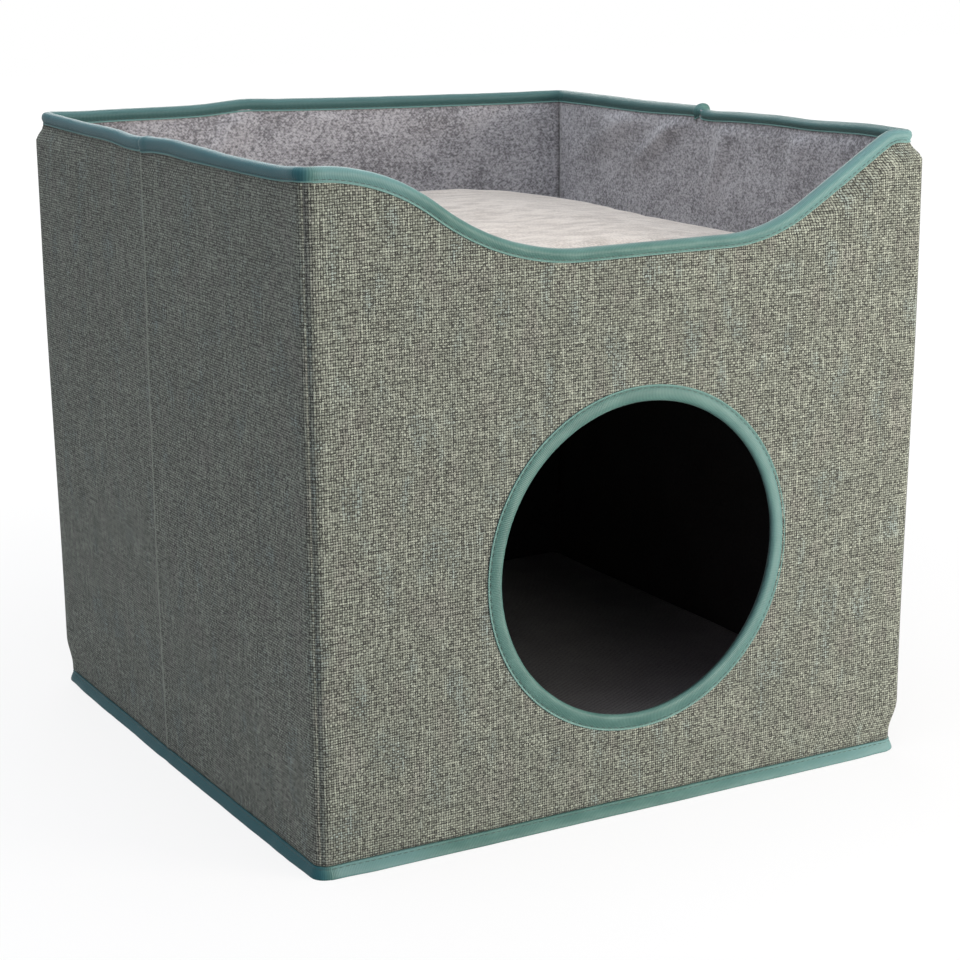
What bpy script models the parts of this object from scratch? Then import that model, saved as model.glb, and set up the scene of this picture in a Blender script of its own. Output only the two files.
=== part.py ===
"""Folding cat cube: a cave with a round entry below and a cushioned bed in the open top.

The origin is on the ground under the middle of the cube. X runs across the front from left to
right, Y from the front to the back and Z up. Lengths are in metres.
"""

import math

import bmesh
import bpy
from mathutils import Matrix, Vector

# Overall size: over the outer cloth, and from the ground to the top of the rim tape
WIDTH = 0.400
DEPTH = 0.400
HEIGHT = 0.390

# Layers of a wall, from the outside in, and the clearance between pieces that touch
CLOTH = 0.0010
BOARD = 0.0025
FELT = 0.0015
FIT = 0.0003

# Vertical corners, over the outer cloth, and the gap between the two boards of a side wall
CORNER_RADIUS = 0.007
CREASE_GAP = 0.003

# Binding tape, folded over the edges of the walls
TAPE = 0.0008
TAPE_FOLD = 0.0092
TAPE_EDGE_RADIUS = 0.0007

# Hem lip: the border of the base cloth turns out and down, and the tape is folded over it
LIP_LENGTH = 0.007
LIP_SLOPE = math.radians(60)
LIP_INSET = 0.0005
LIP_OPENING = 0.0011
FOOT_PRESS = 0.00035

# Loose floor
FLOOR_BOARD = 0.003
FLOOR_CLEARANCE = 0.003
MAT = 0.028
MAT_INSET = 0.0010
MAT_EDGE_RADIUS = 0.009

# Round entry, and how far the entry and the dip are sewn right of the middle of the front
ENTRY_RADIUS = 0.0925
ENTRY_SILL = 0.021
FRONT_SHIFT = 0.009

# Shelf, held by hook and loop tape just above the entry
SHELF_BOARD = 0.003
SHELF_OVER_ENTRY = 0.004
GRIP_TAPE = 0.0012
GRIP_WIDTH = 0.018
GRIP_LENGTH = 0.300

# Cushion: its height at the edge and in the middle, and the radius of its corners in plan
CUSHION_CLEARANCE = 0.006
CUSHION_EDGE = 0.026
CUSHION_CROWN = 0.046
CUSHION_CORNER = 0.022
CUSHION_FULLNESS = 0.4

# Dip in the rim of the front. To each side it has a level foot, a concave arc, a ramp and a convex
# shoulder that ends at the corner. The left side rises in one long sweep, the right side straighter.
DIP_DEPTH = 0.0544
DIP_LEFT_FOOT_RADIUS = 0.375 * WIDTH
DIP_LEFT_RAMP = 0.0025 * WIDTH
DIP_LEFT_SHOULDER_RADIUS = 0.305 * WIDTH
DIP_RIGHT_FOOT_RADIUS = 0.260 * WIDTH
DIP_RIGHT_RAMP = 0.170 * WIDTH
DIP_RIGHT_SHOULDER_RADIUS = 0.070 * WIDTH
DIP_LAND = 0.0005

# Steps of the round forms
CORNER_STEPS = 6
DIP_STEPS = 8
ENTRY_STEPS = 72
TAPE_EDGE_STEPS = 3
TAPE_END_STEPS = 10
MAT_EDGE_STEPS = 3
CUSHION_CUTS = 7
CUTTER_MARGIN = 0.010

# Heights and reaches that follow from the sizes above
WALL = CLOTH + FIT + BOARD + FIT + FELT
INNER_X = WIDTH / 2 - WALL
INNER_Y = DEPTH / 2 - WALL
CORNER_X = WIDTH / 2 - CORNER_RADIUS
CORNER_Y = DEPTH / 2 - CORNER_RADIUS
RIM_EDGE = HEIGHT - TAPE - FIT
TAPE_GRIP = CLOTH / 2 + FIT
TAPE_HALF = TAPE_GRIP + TAPE
LIP_END_Z = FIT * math.sin(LIP_SLOPE) + math.hypot(
    TAPE * math.sin(LIP_SLOPE), TAPE_HALF * math.cos(LIP_SLOPE)
) - FOOT_PRESS
BASE_MIDDLE = LIP_END_Z + LIP_LENGTH * math.sin(LIP_SLOPE)
BASE_TOP = BASE_MIDDLE + CLOTH / 2
WALL_FOOT = BASE_TOP + FIT
FLOOR_TOP = WALL_FOOT + FLOOR_BOARD
MAT_TOP = FLOOR_TOP + FIT + MAT
ENTRY_Z = MAT_TOP + ENTRY_SILL + ENTRY_RADIUS
ENTRY_TAPE_TOP = ENTRY_Z + ENTRY_RADIUS + TAPE_FOLD
GRIP_LOW = ENTRY_TAPE_TOP + SHELF_OVER_ENTRY
GRIP_HIGH = GRIP_LOW + GRIP_WIDTH
FACING_LOW = ENTRY_TAPE_TOP + SHELF_OVER_ENTRY / 2
SHELF_LOW = GRIP_HIGH + FIT
SHELF_BOARD_LOW = SHELF_LOW + CLOTH + FIT
SHELF_BOARD_HIGH = SHELF_BOARD_LOW + SHELF_BOARD
SHELF_TOP = SHELF_BOARD_HIGH + FIT + FELT
CUSHION_LOW = SHELF_TOP + FIT
GRIP_REACH = FIT + GRIP_TAPE
SHELF_X = INNER_X - 2 * GRIP_REACH + GRIP_TAPE
SHELF_Y = INNER_Y - 2 * GRIP_REACH + GRIP_TAPE

PARTS = "cat_scratching_cave"
GUIDES = "cutters"


def clear_scene():
    for obj in list(bpy.data.objects):
        bpy.data.objects.remove(obj, do_unlink=True)


def collection(name):
    made = bpy.data.collections.new(name)
    bpy.context.scene.collection.children.link(made)
    return made


def finish(name, color, roughness):
    """A plain surface colour for one kind of piece."""
    made = bpy.data.materials.new(name)
    made.use_nodes = True
    shader = made.node_tree.nodes["Principled BSDF"]
    shader.inputs["Base Color"].default_value = (*color, 1.0)
    shader.inputs["Roughness"].default_value = roughness
    shader.inputs["Metallic"].default_value = 0.0
    made.diffuse_color = (*color, 1.0)
    return made


def place(name, data, material, carrier):
    """A new part with its own data, material and parent."""
    obj = bpy.data.objects.new(name, data)
    data.materials.append(material)
    bpy.data.collections[PARTS].objects.link(obj)
    if carrier:
        obj.parent = carrier
        obj.matrix_parent_inverse = carrier.matrix_world.inverted()
    return obj


def guide(name, data):
    """A helper that shapes other pieces and isn't part of the object."""
    obj = bpy.data.objects.new(name, data)
    bpy.data.collections[GUIDES].objects.link(obj)
    obj.hide_render = True
    obj.display_type = "WIRE"
    return obj


def mesh_of(name, bm):
    mesh = bpy.data.meshes.new(name)
    bm.to_mesh(mesh)
    bm.free()
    return mesh


def box_mesh(name, low, high):
    """A block between two corners."""
    low = Vector(low)
    high = Vector(high)
    bm = bmesh.new()
    size = Matrix.Diagonal((*(high - low), 1.0))
    bmesh.ops.create_cube(bm, size=1.0, matrix=Matrix.Translation((low + high) / 2) @ size)
    return mesh_of(name, bm)


def plate(name, low, high, material, carrier=None):
    return place(name, box_mesh(name, low, high), material, carrier)


def rounded(obj, width, segments):
    """Rounds every edge of a piece."""
    bevel = obj.modifiers.new("edges", "BEVEL")
    bevel.width = width
    bevel.segments = segments
    bevel.limit_method = "ANGLE"
    return obj


def thickened(obj, thickness):
    """Gives an open surface its thickness, half to each side."""
    solid = obj.modifiers.new("thickness", "SOLIDIFY")
    solid.thickness = thickness
    solid.offset = 0.0
    solid.use_even_offset = True
    return obj


def cut(obj, cutter):
    boolean = obj.modifiers.new(cutter.name, "BOOLEAN")
    boolean.operation = "DIFFERENCE"
    boolean.solver = "EXACT"
    boolean.object = cutter
    return obj


def arc(center, radius, start, end, steps):
    """Points along an arc, both ends included, with angles in radians."""
    turns = [start + (end - start) * i / steps for i in range(steps + 1)]
    return [(center[0] + radius * math.cos(t), center[1] + radius * math.sin(t)) for t in turns]


def corner_arc(turn, radius, start, end, steps):
    """Part of the vertical corner that lies in the diagonal direction turn."""
    center = (
        math.copysign(CORNER_X, math.cos(turn)),
        math.copysign(CORNER_Y, math.sin(turn)),
    )
    return arc(center, radius, start, end, steps)


def plan_ring(reach):
    """The closed outline of the cube in plan, moved out by reach from the outer cloth."""
    quarter = math.pi / 2
    points = []
    for side in range(4):
        start = side * quarter
        middle = start + quarter / 2
        points += corner_arc(middle, CORNER_RADIUS + reach, start, start + quarter, CORNER_STEPS)
    return points


def closed_curve(name, points, dimensions):
    """A cyclic polyline."""
    curve = bpy.data.curves.new(name, "CURVE")
    curve.dimensions = dimensions
    spline = curve.splines.new("POLY")
    spline.points.add(len(points) - 1)
    for point, position in zip(spline.points, points):
        point.co = (*position, 1.0)
    spline.use_cyclic_u = True
    return curve


def swept_ring(name, path, section, material):
    """A section swept round a closed path. Its y stays as near to vertical as the path lets it."""
    outline = [(x, y, 0.0) for x, y in reversed(section)]
    profile = closed_curve(name + "_section", outline, "2D")
    curve = closed_curve(name, path, "3D")
    curve.bevel_mode = "OBJECT"
    curve.bevel_object = guide(name + "_section", profile)
    curve.twist_mode = "Z_UP"
    return place(name, curve, material, None)


def dip_half(foot_radius, ramp, shoulder_radius, end):
    """One half of the dip, from its foot out to its end, as (way out, height from the rim).

    The ramp has the slope at which the two arcs and the ramp add up to the depth.
    """
    radii = foot_radius + shoulder_radius
    slope = math.atan2(radii, ramp) + math.asin((DIP_DEPTH - radii) / math.hypot(radii, ramp))
    foot_x = end - ramp * math.cos(slope) - radii * math.sin(slope)
    down = -math.pi / 2
    foot = arc((foot_x, foot_radius - DIP_DEPTH), foot_radius, down, down + slope, DIP_STEPS)
    up = math.pi / 2
    return foot + arc((end, -shoulder_radius), shoulder_radius, up + slope, up, DIP_STEPS)


def rim_line():
    """The edge of the front wall from left to right, between the corners, as (x, z)."""
    reach = CORNER_X - DIP_LAND
    left = dip_half(
        DIP_LEFT_FOOT_RADIUS, DIP_LEFT_RAMP, DIP_LEFT_SHOULDER_RADIUS, reach + FRONT_SHIFT
    )
    right = dip_half(
        DIP_RIGHT_FOOT_RADIUS, DIP_RIGHT_RAMP, DIP_RIGHT_SHOULDER_RADIUS, reach - FRONT_SHIFT
    )
    both = [(-x, z) for x, z in reversed(left)] + right
    return [(FRONT_SHIFT + x, RIM_EDGE + z) for x, z in both]


def dip_cutter():
    """A block over the dip that runs through the front wall."""
    line = rim_line()
    top = RIM_EDGE + CUTTER_MARGIN
    outline = [(line[0][0], top), *line, (line[-1][0], top)]
    bm = bmesh.new()
    face = bm.faces.new([bm.verts.new((x, -DEPTH / 2 - CUTTER_MARGIN, z)) for x, z in outline])
    pushed = bmesh.ops.extrude_face_region(bm, geom=[face])
    moved = [v for v in pushed["geom"] if isinstance(v, bmesh.types.BMVert)]
    bmesh.ops.translate(bm, verts=moved, vec=(0.0, WALL + 2 * CUTTER_MARGIN, 0.0))
    bmesh.ops.recalc_face_normals(bm, faces=bm.faces)
    return guide("dip_cutter", mesh_of("dip_cutter", bm))


def entry_cutter():
    """A cylinder through the front wall that leaves room for the tape inside the opening."""
    radius = ENTRY_RADIUS + TAPE + FIT
    place_at = Matrix.Translation((FRONT_SHIFT, -DEPTH / 2 + WALL / 2, ENTRY_Z))
    bm = bmesh.new()
    bmesh.ops.create_cone(
        bm,
        cap_ends=True,
        segments=ENTRY_STEPS,
        radius1=radius,
        radius2=radius,
        depth=WALL + 2 * CUTTER_MARGIN,
        matrix=place_at @ Matrix.Rotation(math.pi / 2, 4, "X"),
    )
    return guide("entry_cutter", mesh_of("entry_cutter", bm))


def standing_sheet(name, path, material):
    """Cloth that stands on the base along a path in plan and reaches to the rim."""
    bm = bmesh.new()
    row = [bm.verts.new((x, y, WALL_FOOT)) for x, y in path]
    edges = [bm.edges.new(pair) for pair in zip(row, row[1:])]
    raised = bmesh.ops.extrude_edge_only(bm, edges=edges)
    top = [v for v in raised["geom"] if isinstance(v, bmesh.types.BMVert)]
    bmesh.ops.translate(bm, verts=top, vec=(0.0, 0.0, RIM_EDGE - WALL_FOOT))
    return thickened(place(name, mesh_of(name, bm), material, None), CLOTH)


def covers(material):
    """The four outer cloths, each sewn to the next along the middle of a rounded corner."""
    radius = CORNER_RADIUS - CLOTH / 2
    seam = FIT / 2 / (CORNER_RADIUS - CLOTH)
    eighth = math.pi / 4
    made = {}
    for turn, side in enumerate(("right", "back", "left", "front")):
        facing = turn * 2 * eighth
        first = corner_arc(facing - eighth, radius, facing - eighth + seam, facing, CORNER_STEPS)
        last = corner_arc(facing + eighth, radius, facing, facing + eighth - seam, CORNER_STEPS)
        made[side] = standing_sheet(side + "_cover", first + last, material)
    return made


def layer(name, side, outer, thickness, reach, low, high, material, carrier=None):
    """A flat layer of one wall.

    outer is its depth below the face of the outer cloth, and reach is how far it runs to each
    side of the middle, as one number or as a low and a high end.
    """
    start, end = reach if isinstance(reach, tuple) else (-reach, reach)
    if side in ("front", "back"):
        far = DEPTH / 2 - outer
        near = far - thickness
        span = (-far, -near) if side == "front" else (near, far)
        return plate(name, (start, span[0], low), (end, span[1], high), material, carrier)
    far = WIDTH / 2 - outer
    near = far - thickness
    span = (-far, -near) if side == "left" else (near, far)
    return plate(name, (span[0], start, low), (span[1], end, high), material, carrier)


def boards(material):
    """Stiff boards. Each side wall has two, so that it can fold in at its middle."""
    depth = CLOTH + FIT
    made = {}
    for side in ("front", "back"):
        made[side] = layer(
            side + "_board", side, depth, BOARD, CORNER_X, WALL_FOOT, RIM_EDGE, material
        )
    halves = {"front": (-CORNER_Y, -CREASE_GAP / 2), "rear": (CREASE_GAP / 2, CORNER_Y)}
    for side in ("left", "right"):
        for half, reach in halves.items():
            name = f"{side}_{half}_board"
            layer(name, side, depth, BOARD, reach, WALL_FOOT, RIM_EDGE, material)
    return made


def inner_cloths(felt, lining):
    """Felt round the bed, and dark lining round the cave below it."""
    depth = WALL - FELT
    border = FACING_LOW - FIT
    made = {}
    for side in ("front", "back", "left", "right"):
        reach = INNER_X + FELT if side in ("front", "back") else INNER_Y - FIT
        facing = layer(side + "_facing", side, depth, FELT, reach, FACING_LOW, RIM_EDGE, felt)
        lined = layer(side + "_lining", side, depth, FELT, reach, WALL_FOOT, border, lining)
        made[side] = (facing, lined)
    return made


def rim_section():
    """Inverted U over the wall, as (across, up) from the middle of the wall's edge."""
    inside = WALL / 2 + FIT
    outside = inside + TAPE
    low = FIT + TAPE - TAPE_FOLD
    top = FIT + TAPE - TAPE_EDGE_RADIUS
    bend = outside - TAPE_EDGE_RADIUS
    right = arc((bend, top), TAPE_EDGE_RADIUS, 0.0, math.pi / 2, TAPE_EDGE_STEPS)
    left = arc((-bend, top), TAPE_EDGE_RADIUS, math.pi / 2, math.pi, TAPE_EDGE_STEPS)
    outer = [(outside, low), *right, *left, (-outside, low)]
    inner = [(-inside, low), (-inside, FIT), (inside, FIT), (inside, low)]
    return outer + inner


def rim_path():
    """Round the top edge of the walls, down through the dip in the front."""
    reach = -WALL / 2
    level = [(x, y, RIM_EDGE) for x, y in plan_ring(reach)]
    front = [(x, -DEPTH / 2 - reach, z) for x, z in rim_line()]
    corners = 3 * (CORNER_STEPS + 1)
    return level[:corners] + front + level[corners:]


def hem_section():
    """The tape folded over the end of the lip, as (outwards, up) from that end, flat at the foot."""
    along = (math.cos(LIP_SLOPE), -math.sin(LIP_SLOPE))
    across = (math.sin(LIP_SLOPE), math.cos(LIP_SLOPE))
    back = LIP_OPENING - LIP_LENGTH
    quarter = math.pi / 2
    turns = [math.pi * i / TAPE_END_STEPS - quarter for i in range(TAPE_END_STEPS + 1)]
    fold = [(FIT + TAPE * math.cos(t), TAPE_HALF * math.sin(t)) for t in turns]
    outer = [(back, -TAPE_HALF), *fold, (back, TAPE_HALF)]
    inner = [(back, TAPE_GRIP), (FIT, TAPE_GRIP), (FIT, -TAPE_GRIP), (back, -TAPE_GRIP)]
    points = []
    for s, t in outer + inner:
        out = s * along[0] + t * across[0]
        up = max(s * along[1] + t * across[1], -LIP_END_Z)
        points.append((out, up))
    return points


def hem_path():
    """Round the end of the lip."""
    reach = LIP_LENGTH * math.cos(LIP_SLOPE) - LIP_INSET
    return [(x, y, LIP_END_Z) for x, y in plan_ring(reach)]


def entry_binding(material):
    """The tape round the entry: a C that closes over the edge of the hole, turned on its axis."""
    inside = WALL / 2 + FIT
    outside = inside + TAPE
    lip = ENTRY_RADIUS + TAPE_FOLD
    bend = ENTRY_RADIUS + TAPE_EDGE_RADIUS
    edge = outside - TAPE_EDGE_RADIUS
    quarter = math.pi / 2
    upper = arc((bend, edge), TAPE_EDGE_RADIUS, quarter, 2 * quarter, TAPE_EDGE_STEPS)
    lower = arc((bend, -edge), TAPE_EDGE_RADIUS, 2 * quarter, 3 * quarter, TAPE_EDGE_STEPS)
    outer = [(lip, outside), *upper, *lower, (lip, -outside)]
    hole = ENTRY_RADIUS + TAPE
    inner = [(lip, -inside), (hole, -inside), (hole, inside), (lip, inside)]
    bm = bmesh.new()
    ring = [bm.verts.new((r, 0.0, z)) for r, z in reversed(outer + inner)]
    for pair in zip(ring, ring[1:] + ring[:1]):
        bm.edges.new(pair)
    obj = place("entry_binding", mesh_of("entry_binding", bm), material, None)
    obj.location = (FRONT_SHIFT, -DEPTH / 2 + WALL / 2, ENTRY_Z)
    obj.rotation_euler = (quarter, 0.0, 0.0)
    screw = obj.modifiers.new("turn", "SCREW")
    screw.steps = ENTRY_STEPS
    screw.render_steps = ENTRY_STEPS
    screw.use_merge_vertices = True
    screw.merge_threshold = 0.0001
    return obj


def base_cloth(material):
    """The bottom cloth: flat under the floor, with a border that turns out and down into the hem."""
    bm = bmesh.new()
    rings = []
    ends = ((-LIP_INSET, BASE_MIDDLE), (LIP_LENGTH * math.cos(LIP_SLOPE) - LIP_INSET, LIP_END_Z))
    for reach, height in ends:
        ring = [bm.verts.new((x, y, height)) for x, y in plan_ring(reach)]
        edges = [bm.edges.new(pair) for pair in zip(ring, ring[1:] + ring[:1])]
        rings.append((ring, edges))
    bmesh.ops.bridge_loops(bm, edges=rings[0][1] + rings[1][1])
    bm.faces.new(rings[0][0])
    bmesh.ops.recalc_face_normals(bm, faces=bm.faces)
    return thickened(place("base_cloth", mesh_of("base_cloth", bm), material, None), CLOTH)


def grip_tapes(loop, hook, shelf):
    """Loop tape on each wall, and the hook tape of the shelf that grips it."""
    for side in ("front", "back", "left", "right"):
        for kind, depth, material, carrier in (
            ("loop", WALL + FIT, loop, None),
            ("hook", WALL + FIT + GRIP_REACH, hook, shelf),
        ):
            name = f"{side}_{kind}_tape"
            reach = GRIP_LENGTH / 2
            layer(name, side, depth, GRIP_TAPE, reach, GRIP_LOW, GRIP_HIGH, material, carrier)


def floor_parts(board, mat, carrier):
    """The loose floor: a stiff board and the thick ribbed mat on it."""
    half_x = INNER_X - FLOOR_CLEARANCE
    half_y = INNER_Y - FLOOR_CLEARANCE
    plate("floor_board", (-half_x, -half_y, WALL_FOOT), (half_x, half_y, FLOOR_TOP), board, carrier)
    low = (MAT_INSET - half_x, MAT_INSET - half_y, FLOOR_TOP + FIT)
    high = (half_x - MAT_INSET, half_y - MAT_INSET, MAT_TOP)
    rounded(plate("scratch_mat", low, high, mat, carrier), MAT_EDGE_RADIUS, MAT_EDGE_STEPS)


def shelf_felt(material, carrier):
    """Felt over the top of the shelf board and down its four edges."""
    half_x = SHELF_X - FELT / 2
    half_y = SHELF_Y - FELT / 2
    top = SHELF_TOP - FELT / 2
    bm = bmesh.new()
    size = Matrix.Diagonal((half_x, half_y, 1.0, 1.0))
    bmesh.ops.create_grid(bm, x_segments=1, y_segments=1, size=1.0, matrix=size)
    bmesh.ops.translate(bm, verts=bm.verts, vec=(0.0, 0.0, top))
    folded = bmesh.ops.extrude_edge_only(bm, edges=bm.edges[:])
    border = [v for v in folded["geom"] if isinstance(v, bmesh.types.BMVert)]
    bmesh.ops.translate(bm, verts=border, vec=(0.0, 0.0, SHELF_BOARD_LOW - top))
    bmesh.ops.recalc_face_normals(bm, faces=bm.faces)
    return thickened(place("shelf_felt", mesh_of("shelf_felt", bm), material, carrier), FELT)


def shelf_parts(board, felt, lining, carrier):
    """The shelf under the bed: a stiff board between felt and the ceiling cloth of the cave."""
    half_x = SHELF_X - FELT - FIT
    half_y = SHELF_Y - FELT - FIT
    low = (-half_x, -half_y, SHELF_BOARD_LOW)
    plate("shelf_board", low, (half_x, half_y, SHELF_BOARD_HIGH), board, carrier)
    shelf_felt(felt, carrier)
    low = (-SHELF_X, -SHELF_Y, SHELF_LOW)
    plate("shelf_lining", low, (SHELF_X, SHELF_Y, SHELF_LOW + CLOTH), lining, carrier)


def cushion(material, carrier):
    """A plush pad: flat below, crowned above, with rounded corners in plan."""
    half_x = INNER_X - CUSHION_CLEARANCE
    half_y = INNER_Y - CUSHION_CLEARANCE
    rise = CUSHION_CROWN - CUSHION_EDGE
    pull = CUSHION_CORNER * (1.0 - math.sqrt(0.5))
    bm = bmesh.new()
    bmesh.ops.create_cube(bm, size=2.0)
    bmesh.ops.subdivide_edges(bm, edges=bm.edges[:], cuts=CUSHION_CUTS, use_grid_fill=True)
    for vert in bm.verts:
        # The rows lie closer together towards the edges
        u = math.sin(vert.co.x * math.pi / 2)
        v = math.sin(vert.co.y * math.pi / 2)
        inland = max((1.0 - u * u) * (1.0 - v * v), 0.0)
        height = CUSHION_EDGE + rise * inland**CUSHION_FULLNESS
        inwards = pull * (u * v) ** 12
        vert.co = (
            u * half_x - math.copysign(inwards, u),
            v * half_y - math.copysign(inwards, v),
            CUSHION_LOW + height * (1.0 + vert.co.z) / 2,
        )
    obj = place("cushion", mesh_of("cushion", bm), material, carrier)
    soft = obj.modifiers.new("soft", "SUBSURF")
    soft.levels = 1
    soft.render_levels = 1
    return obj


def joint_empty(name, height, carrier):
    """The parent of the pieces that move together, on the vertical axis they lift along."""
    empty = bpy.data.objects.new(name, None)
    empty.empty_display_size = WIDTH / 8
    empty.location = (0.0, 0.0, height)
    bpy.data.collections[PARTS].objects.link(empty)
    bpy.context.view_layer.update()
    if carrier:
        empty.parent = carrier
        empty.matrix_parent_inverse = carrier.matrix_world.inverted()
    return empty


def main():
    clear_scene()
    collection(PARTS)
    collection(GUIDES).hide_render = True
    weave = finish("woven_cloth", (0.24, 0.25, 0.22), 0.9)
    chipboard = finish("grey_board", (0.30, 0.28, 0.25), 0.85)
    felt = finish("grey_felt", (0.27, 0.27, 0.29), 0.95)
    lining = finish("dark_lining", (0.03, 0.03, 0.03), 0.9)
    tape = finish("satin_tape", (0.16, 0.33, 0.29), 0.45)
    ribbed = finish("ribbed_mat", (0.10, 0.10, 0.10), 0.9)
    plush = finish("plush", (0.62, 0.58, 0.53), 0.9)
    loop = finish("loop_tape", (0.05, 0.05, 0.05), 0.9)
    hook = finish("hook_tape", (0.04, 0.04, 0.04), 0.6)

    floor_lift = joint_empty("floor_lift", WALL_FOOT, None)
    shelf_lift = joint_empty("shelf_lift", SHELF_LOW, floor_lift)
    cushion_lift = joint_empty("cushion_lift", CUSHION_LOW, shelf_lift)

    dip = dip_cutter()
    entry = entry_cutter()
    cover = covers(weave)
    board = boards(chipboard)
    facing, front_lining = inner_cloths(felt, lining)["front"]
    for obj in (cover["front"], board["front"]):
        cut(cut(obj, dip), entry)
    cut(facing, dip)
    cut(front_lining, entry)

    swept_ring("rim_binding", rim_path(), rim_section(), tape)
    swept_ring("hem_binding", hem_path(), hem_section(), tape)
    entry_binding(tape)
    base_cloth(lining)
    grip_tapes(loop, hook, shelf_lift)
    floor_parts(chipboard, ribbed, floor_lift)
    shelf_parts(chipboard, felt, lining, shelf_lift)
    cushion(plush, cushion_lift)


main()
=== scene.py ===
"""Dresses the folding cat cube: woven walls, felt bed, satin bindings, ribbed mat and plush cushion."""

import logging
import math
from collections.abc import Callable
from dataclasses import dataclass
from enum import Enum
from functools import cache

import bmesh
import bpy
from mathutils import Matrix, Vector, noise


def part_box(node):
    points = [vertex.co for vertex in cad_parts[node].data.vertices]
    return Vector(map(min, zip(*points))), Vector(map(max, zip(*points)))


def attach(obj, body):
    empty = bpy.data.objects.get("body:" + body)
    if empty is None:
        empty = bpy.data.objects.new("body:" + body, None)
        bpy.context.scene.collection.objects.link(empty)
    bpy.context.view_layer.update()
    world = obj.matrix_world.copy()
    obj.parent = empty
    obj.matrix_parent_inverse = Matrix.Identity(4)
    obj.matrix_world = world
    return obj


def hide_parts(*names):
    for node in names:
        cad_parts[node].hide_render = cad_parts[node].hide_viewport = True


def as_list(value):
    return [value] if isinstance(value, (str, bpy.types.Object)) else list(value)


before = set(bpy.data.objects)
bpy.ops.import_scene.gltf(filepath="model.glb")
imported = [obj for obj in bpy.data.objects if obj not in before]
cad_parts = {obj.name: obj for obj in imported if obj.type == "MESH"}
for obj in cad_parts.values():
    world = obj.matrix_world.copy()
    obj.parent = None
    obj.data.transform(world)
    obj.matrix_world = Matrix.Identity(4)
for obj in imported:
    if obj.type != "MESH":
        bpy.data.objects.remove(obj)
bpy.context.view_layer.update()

LOG = logging.getLogger("cat_cube")
Color = tuple[float, float, float]
QUARTERS = ((1, 0), (0, 1), (-1, 0), (0, -1))


class Side(Enum):
    """The four walls, by their number of quarter turns from the front, seen from above."""

    FRONT = 0
    RIGHT = 1
    BACK = 2
    LEFT = 3

    @property
    def word(self) -> str:
        """The word that the wall's nodes start with."""
        return self.name.lower()

    @property
    def crosswise(self) -> bool:
        """Whether the wall runs along X."""
        return self in (Side.FRONT, Side.BACK)

    @property
    def along(self) -> Vector:
        """The direction along the wall, to the right as seen from outside."""
        return Vector((*QUARTERS[self.value], 0.0))

    @property
    def out(self) -> Vector:
        """The direction away from the cube."""
        along = self.along
        return Vector((along.y, -along.x, 0.0))


class Body(Enum):
    """What moves as one."""

    SHELL = "shell"
    FLOOR = "floor"
    SHELF = "shelf"
    CUSHION = "cushion"


def held_in(x: float, low: float, high: float) -> float:
    """A number, or the nearer end of a span that it lies outside."""
    return min(max(x, low), high)


def ease(low: float, high: float, x: float) -> float:
    """A smooth step.

    Args:
        low: Where the step starts.
        high: Where it ends. It may be below low, and the step then falls.
        x: Where to read it.

    Returns:
        0 before the step, 1 after it.
    """
    t = held_in((x - low) / (high - low), 0.0, 1.0)
    return t * t * (3.0 - 2.0 * t)


def hump(x: float, middle: float, width: float) -> float:
    """A bell of height 1.

    Args:
        x: Where to read it.
        middle: The place of its top.
        width: The distance at which it has fallen to about a third.

    Returns:
        The height of the bell at x.
    """
    return math.exp(-(((x - middle) / width) ** 2))


def ripple(x: float, y: float, key: float, size: float) -> float:
    """Irregular waves.

    Args:
        x: The first coordinate.
        y: The second coordinate.
        key: A number that sets one field of waves apart from another.
        size: The breadth of a wave.

    Returns:
        A height from about -1 to 1.
    """
    return noise.noise(Vector((x / size, y / size, key)))


def reading(points: tuple[tuple[float, float], ...], x: float) -> float:
    """Reads a smooth curve that is given by some of its points.

    Args:
        points: The points, in the order of their first number.
        x: Where to read the curve.

    Returns:
        Its height, which stays level beyond both ends.
    """
    last = len(points) - 1
    x = held_in(x, points[0][0], points[last][0])
    k = max(i for i in range(last) if i == 0 or x >= points[i][0])

    def slope(i: int) -> float:
        """The steepness of the curve at one of its points."""
        (x0, y0), (x1, y1) = points[max(i - 1, 0)], points[min(i + 1, last)]
        return (y1 - y0) / (x1 - x0)

    (x0, y0), (x1, y1) = points[k], points[k + 1]
    span = x1 - x0
    t = (x - x0) / span
    first = y0 * (1 + 2 * t) * (1 - t) ** 2 + slope(k) * span * t * (1 - t) ** 2
    return first + y1 * t * t * (3 - 2 * t) - slope(k + 1) * span * t * t * (1 - t)


def through(points: list[tuple[float, float]], steps: int) -> list[tuple[float, float]]:
    """A smooth open line through some points.

    Args:
        points: The points, two or more.
        steps: The number of steps between one point and the next.

    Returns:
        The points of the line, the ends included.
    """
    made = []
    last = len(points) - 1
    for i in range(last):
        p = [Vector(points[min(max(i + k, 0), last)]) for k in (-1, 0, 1, 2)]
        for step in range(steps):
            t = step / steps
            bend = (2 * p[0] - 5 * p[1] + 4 * p[2] - p[3]) * t * t
            turn = (3 * (p[1] - p[2]) + p[3] - p[0]) * t**3
            made.append(tuple((2 * p[1] + (p[2] - p[0]) * t + bend + turn) / 2))
    made.append(tuple(points[-1]))
    return made


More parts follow.
